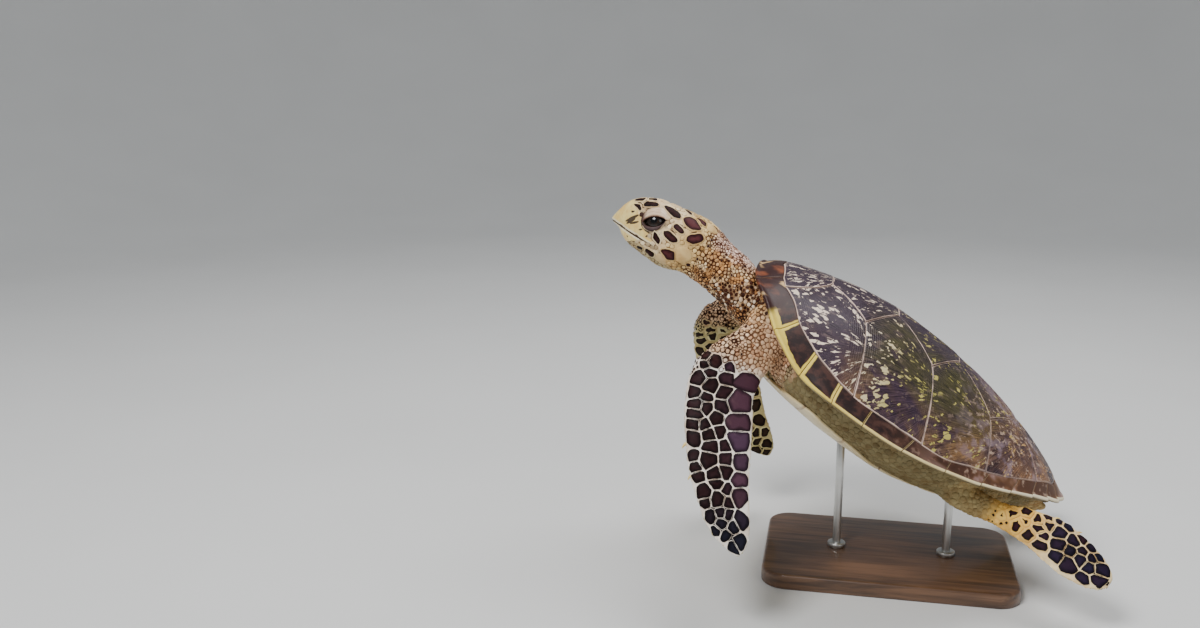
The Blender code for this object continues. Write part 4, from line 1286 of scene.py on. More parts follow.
def mouth_tones(at, pale, head):
    """A dark line along the mouth between cream lips, painted shade of the mouth's gap, and painted shade
    where the beak's horn covers the skin.
    """
    x, y, z = at.T
    # Painted shade under the beak's horn, so that no pale skin shows at its edge.
    pale = blend(pale, (.05, .025, .015), beak_share(at))
    below = z - curve(x, MOUTH_AT)
    along = head * ease(x, -.717, -.728)
    pale = blend(pale, (.88, .72, .46), np.exp(-((below - .0085) / .0045) ** 2) * along * .8)
    pale = blend(pale, (.82, .68, .44), np.exp(-((below + .0085) / .0040) ** 2) * along * .7)
    # Painted shade in the mouth's gap.
    return blend(pale, (.035, .015, .010), np.exp(-((below + .0005) / .0034) ** 2) * along)


print("regions of the neck and head ready")

# %% Limbs and the whole body
def front_tones(pale, dark, noise, fine, u, v, on, far, back):
    """Tan shoulder; cream round near-black above, olive-yellow round dark brown below (back is 0)."""
    pale = blend(pale, (.80, .54, .34), on)
    pale = blend(pale, (.50, .24, .12), on * np.clip(.5 * fine + .4 * noise - .35, 0, .7))
    pale = blend(pale, (.97, .89, .80), far * back)
    pale = blend(pale, (.60, .52, .26), far * (1 - back))
    dark = blend(dark, (.050, .015, .012), on)
    dark = blend(dark, (.014, .005, .006), far * back)
    dark = blend(dark, (.042, .018, .028), far * back * ease(v, .115, .07) * ease(u, .47, .40))
    dark = blend(dark, (.030, .018, .036), far * back * ease(v, .12, .08) * np.clip(noise, 0, .5))
    dark = blend(dark, (.007, .007, .013), far * back * ease(u, .36, .46))
    return pale, blend(dark, (.018, .010, .006), far * (1 - back))


def hind_tones(pale, dark, noise, u, on, far):
    """Olive root, orange-yellow round dark brown, then cream round navy towards the tip."""
    pale = blend(pale, (.42, .32, .15), on)
    pale = blend(pale, (.82, .50, .12), far)
    pale = blend(pale, (.90, .72, .42), far * ease(u, .10, .22))
    dark = blend(dark, (.018, .005, .007), far)
    return pale, blend(dark, (.007, .006, .020), far * ease(u, .10, .22) * np.clip(.75 + .4 * noise, 0, 1))


def tones(at, normal):
    """Pale and dark colours of body points (shell lengths) with their normals, region over region."""
    x, y, z = at.T
    noise, fine = ripple(at, .05, 21), ripple(at, .018, 22)
    # Painted shade: the body starts dark olive, the pale yellow of its underside darkened as if in shadow.
    pale = np.tile((.22, .175, .085), (len(at), 1))
    dark = np.tile((.060, .035, .022), (len(at), 1))
    pale, dark = neck_tones(at, pale, dark, noise, fine)
    head = ease(x, -.615, -.67)
    pale, dark = head_tones(at, pale, dark, head)
    pale = mouth_tones(at, eye_tones(at, pale), head)
    for name, limb in LIMBS.items():
        u, v, w = limb.place(at)
        on = limb.share(at, .075 + .012 * noise, .055) * ease(u, -.12, -.03)
        if "front" in name:
            back = ease((normal @ limb.out) * limb.upper, -.35, .15)
            far = limb.inside(at, .03) * ease(u + .4 * (v - .10), .0, .06)
            pale, dark = front_tones(pale, dark, noise, fine, u, v, on, far, back)
        else:
            pale, dark = hind_tones(pale, dark, noise, u, on, limb.inside(at, .03) * ease(u, .0, .05))
    tail = ease(x, .40, .46) * ease(np.abs(y), .08, .05)
    pale, dark = blend(pale, (.46, .32, .14), tail), blend(dark, (.08, .035, .018), tail)
    return pale * (1 + .06 * fine[:, None]), dark


print("mean pale colour", tones(skin_at[::50] / SHELL, skin_normal[::50])[0].mean(0).round(2))

# %% [markdown]
# ## Where scales grow
#
# A turtle's scales don't overlap like a fish's: they lie side by side and share their borders. Each
# starts as a seed, a point of the skin with a size, a direction and the width of its pale border.
# The big scales of the head have names and places of their own, those of the flippers stand in
# rows, and small ones fill the rest at a spacing that follows the region.

# %% Seeds of the big scales
# Name: centre, half length, half width and direction on the left of the head, in shell lengths
HEAD_SCALES = {
    "nasal": ((-.854, -.030, -.066), .018, .0040, (.86, -.51, .02)),
    "prefrontal_edge": ((-.834, -.028, -.042), .020, .0075, (.86, -.03, .52)),
    "prefrontal_front": ((-.862, -.011, -.050), .014, .0080, (.80, 0, .55)),
    "prefrontal_rear": ((-.838, -.010, -.031), .013, .0080, (.85, 0, .50)),
    "supraocular": ((-.769, -.039, -.020), .031, .0088, (.90, -.44, -.03)),
    "parietal": ((-.710, -.052, -.011), .0235, .0140, (.96, -.26, .02)),
    "frontoparietal": ((-.741, -.010, -.001), .020, .0050, (-.79, .58, -.19)),
    "interparietal": ((-.693, -.033, .004), .024, .0065, (.97, -.24, .09)),
    "postocular_upper": ((-.732, -.067, -.041), .0165, .0055, (.97, -.24, -.01)),
    "postocular_middle": ((-.736, -.073, -.071), .0225, .0075, (.98, -.22, -.04)),
    "postocular_lower": ((-.764, -.069, -.098), .016, .0060, (.89, -.29, -.36)),
    "temporal": ((-.682, -.073, -.035), .020, .0105, (.64, .25, .72)),
    "jaw_corner": ((-.713, -.078, -.111), .0215, .0110, (.89, -.16, .42)),
    "jaw_front": ((-.785, -.053, -.149), .0110, .0036, (.80, -.42, .44)),
    "jaw_rear": ((-.757, -.063, -.142), .016, .0068, (.93, -.32, .20)),
}
PALE_SCALES = {
    "frontal": ((-.812, -.001, -.016), .014, .010, (.9, 0, .4)),
    "crown": ((-.775, -.001, -.008), .016, .012, (1, 0, .2)),
    "tympanic": ((-.681, -.081, -.089), .021, .021, (1, 0, 0)),
    "cheek": ((-.722, -.080, -.140), .016, .012, (1, 0, .2)),
    "nape": ((-.665, -.030, .010), .018, .014, (1, 0, 0)),
}
# Rows along a limb: name, start, end, number, chord along the reach, scale radius
FRONT_ROWS = (
    ("trailing", .085, .470, 9, ((.085, .14, .30, .41, .47), (.042, .066, .066, .060, .072)), .0205),
    ("inner", .045, .482, 14,
     ((.045, .166, .22, .266, .33, .48), (.095, .115, .119, .098, .110, .090)), .0165),
    ("outer", .032, .462, 15, ((.032, .11, .20, .30, .46), (.125, .147, .151, .138, .112)), .0155),
    ("leading", .010, .448, 15,
     ((.010, .074, .157, .259, .33, .45), (.148, .168, .180, .186, .172, .134)), .0150))
HIND_ROWS = (
    ("claw", .053, .322, 8,
     ((.053, .14, .205, .24, .28, .32), (-.006, -.010, -.018, -.024, -.034, -.016)), .0170),
    ("second", .075, .290, 8, ((.075, .12, .17, .23, .29), (.020, .020, .012, .004, -.006)), .0150),
    ("third", .107, .313, 8, ((.107, .16, .21, .26, .315), (.040, .044, .038, .028, .010)), .0150),
    ("fourth", .150, .292, 6, ((.15, .19, .25, .29), (.066, .072, .060, .040)), .0130))
seeds = []


def add_seeds(region, at, normal, long, wide, way, border, slack=1.0):
    """One batch: half length and width in metres, direction, pale border, and how far it may spread."""
    way = np.broadcast_to(way, (len(at), 3))
    way = unit(way - (way * normal).sum(1)[:, None] * normal)
    batch = {"at": at, "normal": normal, "way": way, "side": np.cross(normal, way)}
    batch["region"] = np.full(len(at), region)
    for key, value in (("long", long), ("wide", wide), ("border", border), ("slack", slack)):
        batch[key] = np.broadcast_to(np.asarray(value, float), len(at)).copy()
    seeds.append(batch)


def head_seeds():
    """The named scales of the head: dark ones a little larger than their core, pale ones all border."""
    for table, grown, border in ((HEAD_SCALES, 1.30, .0016), (PALE_SCALES, 1.0, .05)):
        for centre, long, wide, way in table.values():
            for side in (1, -1):
                at, normal = snapped(SHELL * np.array([centre]) * (1, side, 1))
                add_seeds("head", at, normal, SHELL * long * grown + .0018, SHELL * wide * grown + .0018,
                          np.array(way) * (1, side, 1), border)


def on_limb(limb, u, v, height):
    """Skin points and normals nearest to places (reach, chord, height) of a limb."""
    across = v[:, None] * limb.chord + height[:, None] * limb.out
    return snapped(SHELL * (limb.origin + u[:, None] * limb.span + across))


def row_seeds(name, limb, rows, face, random):
    """Scales of one face of a limb, in rows along its reach."""
    for row, start, end, count, chord, radius in rows:
        u = np.linspace(start, end, count) + random.uniform(-.009, .009, count)
        v = curve(u, chord) + random.uniform(-.007, .007, count)
        thick, lift = (curve(u, limb.table[[0, k]]) for k in (3, 4))
        at, normal = on_limb(limb, u, v, lift + face * thick * .6)
        far = ease(u, limb.rows[-1][0] * .20, limb.rows[-1][0] * .62)
        size = SHELL * radius * random.uniform(.78, 1.22, count)
        upper = face == limb.upper
        if "front" in name:
            under = {"trailing": .0060, "inner": .0036}.get(row, .0016) * (1 - .75 * far)
            border = .00035 + (0 if upper else under)
        else:
            border = .0040 - .0036 * far + (0 if upper else .0008)
        across = {"trailing": 1.9, "leading": 1.45, "outer": 1.25}.get(row, 1.0)
        slant = limb.span + (.55 if row in ("leading", "outer") else .15) * limb.chord
        border = border * random.uniform(.85, 1.15, count)
        add_seeds(name, at, normal, size, size * across, slant, border, 1.75)


def edge_seeds(name, limb, lead, count, radius, random):
    """Scales wrapped over a limb's leading or trailing edge."""
    last = limb.rows[-1][0]
    u = np.linspace(.10 if lead else .12, last * .985, count)
    v, lift = (curve(u, limb.table[[0, k]]) for k in (2 if lead else 1, 4))
    at, normal = on_limb(limb, u, v, lift)
    size = SHELL * radius * random.uniform(.9, 1.1, count) * (1 - .3 * ease(u, last * .8, last))
    add_seeds(name, at, normal, size * 1.6, size * .24, limb.span, .05, 1.3)


head_seeds()
random = np.random.default_rng(7)
for name, limb in LIMBS.items():
    front = "front" in name
    for face in (1, -1):
        row_seeds(name, limb, FRONT_ROWS if front else HIND_ROWS, face, random)
    edge_seeds(name, limb, True, 24 if front else 16, .0080, random)
    edge_seeds(name, limb, False, 26 if front else 18, .0070, random)
print("big scales", sum(len(batch["at"]) for batch in seeds))

# %% Seeds of the small scales
def covered(at, normal):
    """True for skin points (shell lengths) hidden under the shell's plates or the belly plate."""
    s, y, z = at[:, 0] + .5, at[:, 1], at[:, 2]
    back = (np.abs(s - .48) < .44) & (z > back_height(s, y) - .035) & (normal[:, 2] > .2)
    back &= np.abs(y) < .88 * half_width(np.clip(s, 0, 1))
    belly = (s > .09) & (s < .86) & (np.abs(y) < curve(s, PLASTRON_AT) - .006)
    return back | (belly & (normal[:, 2] < 0) & (z < under_height(s, y) + .02))


def spacing(at, normal):
    """Distance between small scales at skin points (shell lengths), in metres; 0 where none grow."""
    gap = np.full(len(at), .0058)
    gap = gap + (.0042 + .0008 * ripple(at, .04, 13) - gap) * ease(at[:, 0], -.20, -.34)
    gap = gap + (.0036 + .0007 * ripple(at, .05, 12) - gap) * ease(at[:, 0], -.44, -.50)
    gap = gap + (.0044 - gap) * ease(at[:, 0], -.64, -.67)
    gap = gap + (.0040 - gap) * ease(at[:, 0], .38, .44)
    for name, limb in LIMBS.items():
        u = limb.place(at)[0]
        share = limb.inside(at, .04) * ease(u, -.06, .0)
        gap = gap + (.0040 + .0006 * ripple(at, .03, 14) - gap) * share
        gap[limb.inside(at, .02) & (u > (.055 if "front" in name else .075))] = 0
    gap[covered(at, normal) | (beak_share(at) > .3)] = 0
    for side in (-1, 1):
        x, y, z = eye_place(at * SHELL, side)
        gap[((x / .0172) ** 2 + (y / np.where(y > 0, LID_UP, LID_DOWN)) ** 2 < 1) & (z > 0)] = 0
    return gap


def tree_of(points):
    """Search tree over the points."""
    tree = KDTree(len(points))
    for i, p in enumerate(points.tolist()):
        tree.insert(p, i)
    tree.balance()
    return tree


def clear_big(tree, spots, normals, free):
    """Marks the points under the big scales, inside each one's ellipse, as taken."""
    for batch in seeds:
        for i in range(len(batch["at"])):
            long, wide = batch["long"][i] + .0012, batch["wide"][i] + .0012
            found = [j for _, j, _ in tree.find_range(batch["at"][i].tolist(), max(long, wide) * 1.05)]
            away = spots[found] - batch["at"][i]
            near_it = (away @ batch["way"][i] / long) ** 2 + (away @ batch["side"][i] / wide) ** 2 < 1.1
            free[np.array(found, int)[near_it & (normals[found] @ batch["normal"][i] > -.3)]] = False


def small_seeds(random):
    """Greedy filling: take skin points in random order and clear the room round each one taken."""
    gap = spacing(skin_at / SHELL, skin_normal)
    pick = random.permutation(np.flatnonzero(gap > 0))[:90000]
    spots, normals, room = skin_at[pick], skin_normal[pick], gap[pick]
    tree, free, taken = tree_of(spots), np.ones(len(pick), bool), []
    clear_big(tree, spots, normals, free)
    places = spots.tolist()
    for i in range(len(pick)):
        if free[i]:
            taken.append(i)
            near_by = np.array([j for _, j, _ in tree.find_range(places[i], room[i])])
            free[near_by[normals[near_by] @ normals[i] > -.3]] = False
    return pick[taken], room[taken]


def small_borders(spot, region, inked):
    """Borders of the small scales: dark lines on neck, shoulders and head, and a few dark scales."""
    border = np.full(len(spot), .05)
    clump = np.clip(.5 + .4 * ripple(spot, .045, 31), 0, 1)
    shoulder = ease(spot[:, 0], -.24, -.32) * (np.abs(spot[:, 1]) > .10)
    neck, head = region == "neck", region == "head"
    border = np.where(shoulder > .5, -.00018 - .00030 * clump, border)
    # On the throat the dark borders are wider, which spreads the painted shade of its folds.
    border = np.where(neck, -.00022 - .00060 * clump - .00030 * throat(spot), border)
    border[neck & (inked < .20 * clump)] = .0002
    border[(neck_stain(spot) > .3) & (inked < .6)] = .0002
    return np.where(head, -.00008 - .00026 * clump, border)


def place_small(random):
    """Seeds for the small scales, region by region."""
    index, room = small_seeds(random)
    at, normal = skin_at[index], skin_normal[index]
    spot = at / SHELL
    way = np.tile((0, 1.0, 0), (len(index), 1))
    inked = random.uniform(0, 1, len(index))
    region = np.where(spot[:, 0] < -.40, "neck", "body").astype("U12")
    region[spot[:, 0] <= -.665] = "head"
    border = small_borders(spot, region, inked)
    for name, limb in LIMBS.items():
        u, v, w = limb.place(spot)
        on = limb.inside(spot, .04) & (u > -.02)
        region[on], way[on] = name, limb.span
        if "front" in name:
            border[on & (inked < .7) & (u > .02) & (v > .11)] = .0006
        else:
            border[on & (inked < .5) & (u > .03)] = .0011
    for word in np.unique(region):
        parts = (part[region == word] for part in (at, normal, room * .62, room * .54, way, border))
        add_seeds(word, *parts, 1.3)


place_small(random)
scales = {key: np.concatenate([batch[key] for batch in seeds]) for key in seeds[0]}
scales["size"] = np.sqrt(scales["long"] * scales["wide"])
neighbours = tree_of(scales["at"])
print("scales", dict(zip(*(row.tolist() for row in np.unique(scales["region"], return_counts=True)))))

# %% [markdown]
# ## Scale shapes
#
# Scales could be one shape repeated, but real ones fill the room that their neighbours leave. So the
# border of a scale is where its neighbours' territories begin. Along direction $\varphi$ the reach
# is $r(\varphi) = \left(e^{-p} + \sum_k (d_k / \cos(\varphi - \varphi_k))^{-p}\right)^{-1/p}$, with $e$
# the scale's own ellipse and $d_k$ the distance to the line shared with neighbour $k$.

# %% Reach of a scale
def own_reach(which, x, y):
    """Radius of a scale's own ellipse towards (x, y) of its tangent plane."""
    length = np.maximum(np.hypot(x, y), 1e-9)
    return 1 / np.hypot(x / length / scales["long"][which], y / length / scales["wide"][which])


def reaches(chosen, around, gap):
    """Reach of each chosen scale in each direction, in metres, then the turns and the two tangents."""
    at, normal, way, side = (scales[key] for key in ("at", "normal", "way", "side"))
    found = np.array([[j for _, j, _ in neighbours.find_n(p, 19)][1:] for p in at[chosen].tolist()])
    first, second = way[chosen], side[chosen]
    away = at[found] - at[chosen][:, None]
    x, y = (away * first[:, None]).sum(-1), (away * second[:, None]).sum(-1)
    mine = own_reach(np.broadcast_to(chosen[:, None], found.shape), x, y)
    theirs = own_reach(found, (away * way[found]).sum(-1), (away * side[found]).sum(-1))
    line = np.maximum(np.linalg.norm(away, axis=-1) * mine / (mine + theirs) - gap, .0004)
    line = np.where((normal[found] * normal[chosen][:, None]).sum(-1) < -.4, 1.0, line)
    turn = np.arange(around) * 2 * np.pi / around
    cos = np.cos(turn[None, None] - np.arctan2(y, x)[..., None])
    power = 24
    total = (np.where(cos > .05, cos, 0) / line[..., None]) ** power
    long, wide, slack = (scales[key][chosen][:, None] for key in ("long", "wide", "slack"))
    ellipse = np.hypot(np.cos(turn) / long, np.sin(turn) / wide) / slack
    return (total.sum(1) + ellipse ** power) ** (-1 / power), turn, first, second


print("first scale reaches", (1000 * reaches(np.array([0]), 4, 0)[0][0]).round(1), "mm in four directions")

# %% Scale meshes
def unwrap(at, normal):
    """Place of skin points in the unit square: a strip for the body and two for each limb."""
    x, y, z = at.T
    place = np.stack([(x + .91) / 1.42, .40 * (np.arctan2(y, z + .09) / (2 * np.pi) + .5)], 1)
    for k, (name, limb) in enumerate(LIMBS.items()):
        u, v, w = limb.place(at)
        on = limb.inside(at, .04) & (u > -.01)
        face = ((normal @ limb.out) > 0).astype(float)
        strip = np.stack([.48 * u / .52 + .5 * face + .01, .42 + .14 * k + .13 * (v + .07) / .29], 1)
        place[on] = strip[on]
    return place


def scale_faces(count, rings, around):
    """Quads between the rings of every scale, then fans to its top and its bottom point."""
    total, j = count * rings * around, np.arange(around)
    one = grid_faces(rings, around, closed=True)
    base = (np.arange(count) * rings * around)[:, None]
    quads = (one[None] + base[..., None]).reshape(-1, 4)[:, ::-1]
    low = base + (rings - 1) * around
    tip = np.broadcast_to(total + np.arange(count)[:, None], (count, around))
    fan = np.stack([base + j, base + (j + 1) % around, tip], -1)
    under = np.stack([low + (j + 1) % around, low + j, tip + count], -1)
    return [quads, fan.reshape(-1, 3), under.reshape(-1, 3)]


def scale_points(chosen, local, shares, heights, sunk):
    """Rings snapped to the skin, raised by heights times the size; then each top and bottom point."""
    count, rings, around = len(chosen), len(shares), local.shape[1]
    at, normal = scales["at"][chosen], scales["normal"][chosen]
    size = np.minimum(scales["size"][chosen], .006)
    flat = at[:, None, None] + shares[None, :, None, None] * local[:, None]
    points, up = snapped(flat.reshape(-1, 3))
    up = unit(up + normal.repeat(rings * around, 0) * .8)
    rise = (heights[None, :] * size[:, None])
    rise[:, -1] = -sunk
    points = points + up * rise.repeat(around, 1).reshape(-1, 1)
    return np.concatenate([points, at + normal * (heights[0] * size)[:, None], at - normal * .0012])


def scale_colours(name, chosen):
    """Pale and dark colour of each scale, one scale a little lighter or redder than the next."""
    at, normal, border = (scales[key][chosen] for key in ("at", "normal", "border"))
    pale, dark = tones(at / SHELL, normal)
    random = np.random.default_rng(len(chosen))
    vary = (.26 if "neck" in name else .12) * random.normal(size=(len(chosen), 1)).clip(-1.8, 1.3)
    bright = (neck_stain(at / SHELL) > .3) & (border < 0)
    pale = blend(pale, (.84, .66, .48), bright * .85)
    tone = np.maximum(1 + vary * (1, 1.25, 1.5), .1)
    dark = line_colour(at / SHELL, pale, dark, border)
    return pale * tone, dark * tone


def scale_mesh(name, chosen, around, shares, heights, gap, sunk=.0012):
    """Joined closed scales: rings at the given shares of the reach, raised by heights times the size."""
    reach, turn, first, second = reaches(chosen, around, gap)
    count, rings = len(chosen), len(shares) + 1
    shares, heights = np.append(shares, shares[-1]), np.append(heights, 0)
    cos, sin = np.cos(turn)[None, :, None], np.sin(turn)[None, :, None]
    local = (cos * first[:, None] + sin * second[:, None]) * reach[..., None]
    points = scale_points(chosen, local, shares, heights, sunk)
    at, normal, border = (scales[key][chosen] for key in ("at", "normal", "border"))
    sign = np.sign(border)
    inner = sign[:, None, None] * (1 - shares)[None, :, None] * reach[:, None, :] - border[:, None, None]
    middle = sign * reach.mean(1) - border
    owner = np.concatenate([np.arange(count).repeat(rings * around), np.arange(count), np.arange(count)])
    pale, dark = scale_colours(name, chosen)
    away = points - at[owner]
    width = np.maximum(reach.max(1), 1e-4)[owner]
    patch = np.stack([(away * first[owner]).sum(1), (away * second[owner]).sum(1)], 1) / width[:, None]
    uv = unwrap(at / SHELL, normal)[owner] + .0015 * patch
    ink = np.concatenate([inner.reshape(-1), middle, middle])
    fields = {"ink": ink, "pale": pale[owner], "dark": dark[owner]}
    return add_piece(name, to_world(points), scale_faces(count, rings, around), turtle_skin, fields, uv)


def set_scales():
    """Big scales one piece for each limb and the head, small ones in pieces by region."""
    big = np.maximum(scales["long"], scales["wide"]) > .0050
    domed = np.array([.30, .60, .80, .92, .98, 1.0]), np.array([.20, .19, .17, .13, .07, .02])
    rounded = np.array([.55, .92, 1.0]), np.array([.26, .15, .0])
    for name in (*LIMBS, "head"):
        chosen = np.flatnonzero(big & (scales["region"] == name))
        scale_mesh("scales_" + name, chosen, 28, *domed, .00022)
    for name in (*LIMBS, "head", "neck", "body"):
        chosen = np.flatnonzero(~big & (scales["region"] == name))
        for k, part in enumerate(np.array_split(chosen, 1 + len(chosen) // 2600)):
            scale_mesh(f"grains_{name}_{k + 1}", part, 9, *rounded, .00012, .0006)


set_scales()

# %% [markdown]
# ## The skin and the lids as meshes
#
# The even surface has far more points than its shape needs, so the mesh that shows is a thinned copy
# with colours worked out at its own points. It takes the same ink as the scale above it: positive
# inside the scale's dark core. The lids are sheets of their own with a rolled edge and wrinkles,
# because a remesh would blunt the thin edge that makes an eye look alive.

# %% Eyelids
def skin_ink(points):
    """Ink and border of the nearest scale at each skin point."""
    found = [neighbours.find(p)[1] for p in points.tolist()]
    gap = np.linalg.norm(points - scales["at"][found], axis=1)
    border = scales["border"][found]
    core = scales["size"][found] * 1.02 - gap - border
    far = scales["size"][found] * 1.6 < gap
    return np.where(far, -.01, np.where(border < 0, .0004, core)), border


def lids(side, upper):
    """One lid as a sheet: rolled edge, wrinkled cover, and a root sunk in the head."""
    centre, back, up, out = eye_frame(side)
    a = np.sin(np.linspace(-np.pi / 2, np.pi / 2, 57))[:, None] * .985
    b = np.concatenate([[-.9, -.55, -.25, 0], np.linspace(.04, 1, 26) ** 1.3])[None, :]
    full = (1 - a ** 2) ** .30
    angle = lid_margin(a * SLIT, upper) + (1 if upper else -1) * np.maximum(b, 0) * np.radians(105)
    inward = np.where(b < 0, .0030 * np.abs(b) ** .8, 0)
    roll = .00045 * np.exp(-((b - .05) / .05) ** 2)
    wrinkle = .00028 * np.sin((b * 38 + 5 * a ** 2)) * ease(b, .04, .12) * ease(b, 1.0, .7)
    reach = roll + wrinkle - inward - .004 * ease(b, .72, 1.0)
    y = full * ((LID_UP if upper else LID_DOWN) + reach) * np.sin(angle)
    z = full * (LID_OUT + reach) * np.cos(angle)
    lid = centre + (a * SLIT)[..., None] * back + y[..., None] * up + z[..., None] * out
    along, across = (np.broadcast_to(k, lid.shape[:2]).ravel() for k in (a, b))
    return lid.reshape(-1, 3), grid_faces(*lid.shape[:2]), lid_tint(along, across, upper)


def lid_tint(a, b, upper):
    """Colour of a lid at share a along it, -1 in front to 1 behind, and b from its edge to its root."""
    tint = np.tile((.84, .68, .50) if upper else (.84, .70, .48), (len(a), 1))
    # Painted shade: darker lines in the wrinkles' creases.
    fold = np.clip(np.sin(b * 44 + 2.5 * a ** 2 + .8 * np.sin(7 * a)), 0, 1) ** 3 * ease(b, .06, .2)
    tint = blend(tint, (.50, .30, .21), .55 * fold)
    front = ease(a, -.38, -.80)
    if upper:
        tint = blend(tint, (.085, .032, .034), front * ease(b, .75, .35) * .95)
        # Painted shadow: a dark line along the upper lid's edge, where it overhangs the eye.
        tint = blend(tint, (.16, .070, .050), ease(b, .060, .015) * .8)
    else:
        wide = .17 - .12 * ease(a, .15, .60)
        tint = blend(tint, (.085, .052, .066), ease(b, wide + .02, wide - .02) * .95)
        lined = np.exp(-((b - wide) / .045) ** 2) * (1 - .5 * ease(a, .3, .7))
        tint = blend(tint, (.020, .009, .010), lined)
        beads = np.sin(a * 42) * ease(a, .1, .3) * np.exp(-((b - .16) / .07) ** 2)
        tint = blend(tint, (.10, .045, .035), np.clip(-beads, 0, 1) * .8)
    tint = blend(tint, (.022, .010, .010), np.exp(-((a + .97) / .10) ** 2))
    # Painted shade where the lid turns in under its edge.
    return blend(tint, (.06, .028, .022), ease(b, -.02, -.3))


def all_lids(start):
    """Points, faces numbered from start, and tints of the four lids, facing away from the eyes."""
    points, quads, tints = [], [], []
    for side, upper in ((-1, True), (-1, False), (1, True), (1, False)):
        spots, faces, tint = lids(side, upper)
        corner = spots[faces[:, 0]]
        facing = np.cross(spots[faces[:, 1]] - corner, spots[faces[:, 2]] - corner)
        if (facing * (corner - eye_frame(side)[0])).sum() < 0:
            faces = faces[:, ::-1]
        quads.append(faces + start + sum(map(len, points)))
        points.append(spots)
        tints.append(tint)
    return tuple(np.concatenate(parts) for parts in (points, quads, tints))


print("points in the lids", len(all_lids(0)[0]))

# %% Skin object
SKIN_TRIANGLES = 180000


def make_skin():
    """The skin's mesh, under about 200,000 triangles, in place of every node of flesh."""
    cover, triangles = thinned(skin_at, skin_quads, SKIN_TRIANGLES)
    pale, dark = tones(cover / SHELL, surface_normals(cover, triangles))
    ink, border = skin_ink(cover)
    dark = line_colour(cover / SHELL, pale, dark, border)
    spots, quads, tint = all_lids(len(cover))
    fields = {"ink": np.append(ink, np.full(len(spots), -.01)), "pale": np.concatenate([pale, tint]),
              "dark": np.concatenate([dark, np.tile((.1, .05, .04), (len(spots), 1))])}
    points = to_world(np.concatenate([cover, spots]))
    skin = add_piece("skin", points, [triangles, quads], turtle_skin, fields)
    nodes = ["head", "neck", "trunk", "tail", *(f"flipper_{name}" for name in LIMBS)]
    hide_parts(*nodes)
    return len(triangles) + 2 * len(quads)


print("skin triangles", make_skin())

# %% [markdown]
# ## Beak, eyes and claws
#
# The beak is two sheaths of horn over the jaws, amber with a few dark strokes, and the eye is black
# with hardly any iris to see. A sheath could be drawn as a shape of its own, but it has to fit the
# head all round, so each is cut from the head's own rings by planes, made even and rounded. The
# eyeball is a plain sphere: what makes it an eye is its wet coat and the lids in front of it. Each
# claw is a row of circles that shrink along a bent line.

# %% Horn of the beak, and the eye's black
def beak_looks():
    """Amber horn, with painted shade of the mouth's gap along the cutting edge; dark where the attribute
    streak is above nought.
    """
    looks = Looks("beak_horn")
    world = looks.place()
    tall = looks.field("tall")
    cloud = looks.noise(world, 70.0, 4.0, .6, .6)
    fine = looks.noise(world.stretched(1.0, 1.0, .35), 240.0, 3.0, .6)
    streak = looks.noise(world.stretched(.35, 1.0, 1.0), 170.0, 2.0, .5)
    colour = cloud.step(.32, .66).mix((.88, .70, .27), (.80, .54, .17))
    colour = tall.step(.0044, .0018).mix(colour, (.88, .78, .52))
    # Painted shade: near black next to the cutting edge, the shade of the mouth's gap.
    colour = tall.step(.0015, .0007).mix(colour, (.050, .020, .010))
    colour = (fine.step(.56, .74) * .30).mix(colour, (.46, .25, .07))
    stroke = (looks.field("streak") + (fine - .5) * .0009 + (streak - .5) * .0008).step(-.0001, .0002)
    colour = (stroke * .96).mix(colour, (.026, .010, .006))
    normal = looks.bump(fine + cloud * .4, .30, .0006)
    return looks.finish(Base_Color=colour, Roughness=.30 + fine * .16, Normal=normal, Coat_Weight=.25,
                        Coat_Roughness=.15)


def eye_looks():
    """A black pupil in a brown-black iris in a dark white, by the distance from the eye's axis."""
    looks = Looks("eye_black")
    radius = looks.field("axis")
    fine = looks.noise(looks.place(), 380.0, 3.0, .6)
    iris = fine.step(.3, .7).mix((.006, .004, .003), (.026, .013, .008))
    colour = radius.step(.0046, .0040).mix(iris, (.0015, .0015, .002))
    colour = radius.step(.0082, .0092).mix(colour, (.010, .007, .006))
    return looks.finish(Base_Color=colour, Roughness=.10 + fine * .05, Coat_Weight=.5, Coat_Roughness=.03,
                        Specular_IOR_Level=.2)


beak_horn, eye_black = beak_looks(), eye_looks()
print("horn and black ready")

# %% Beak
def cut_shell(points, faces, planes):
    """Closed shell cut by planes (point, outward normal) and capped, keeping the side within."""
    mesh = bpy.data.meshes.new("cut")
    mesh.from_pydata(points.tolist(), [], faces)
    bm = bmesh.new()
    bm.from_mesh(mesh)
    for spot, away in planes:
        whole = bm.verts[:] + bm.edges[:] + bm.faces[:]
        made = bmesh.ops.bisect_plane(bm, geom=whole, plane_co=spot, plane_no=away, clear_outer=True)
        rim = [g for g in made["geom_cut"] if isinstance(g, bmesh.types.BMEdge)]
        bmesh.ops.holes_fill(bm, edges=rim, sides=0)
    bm.verts.index_update()
    kept = np.array([v.co[:] for v in bm.verts]), [[v.index for v in f.verts] for f in bm.faces]
    bm.free()
    return kept


# Dark strokes on the side of the upper beak: ends as (x, z) in shell lengths, half width in metres
STROKES = (((-.860, -.118), (-.842, -.083), .00190), ((-.854, -.121), (-.843, -.096), .00165),
           ((-.846, -.115), (-.831, -.096), .00155), ((-.862, -.090), (-.857, -.082), .00110),
           ((-.817, -.112), (-.810, -.104), .00115), ((-.791, -.114), (-.784, -.102), .00125))


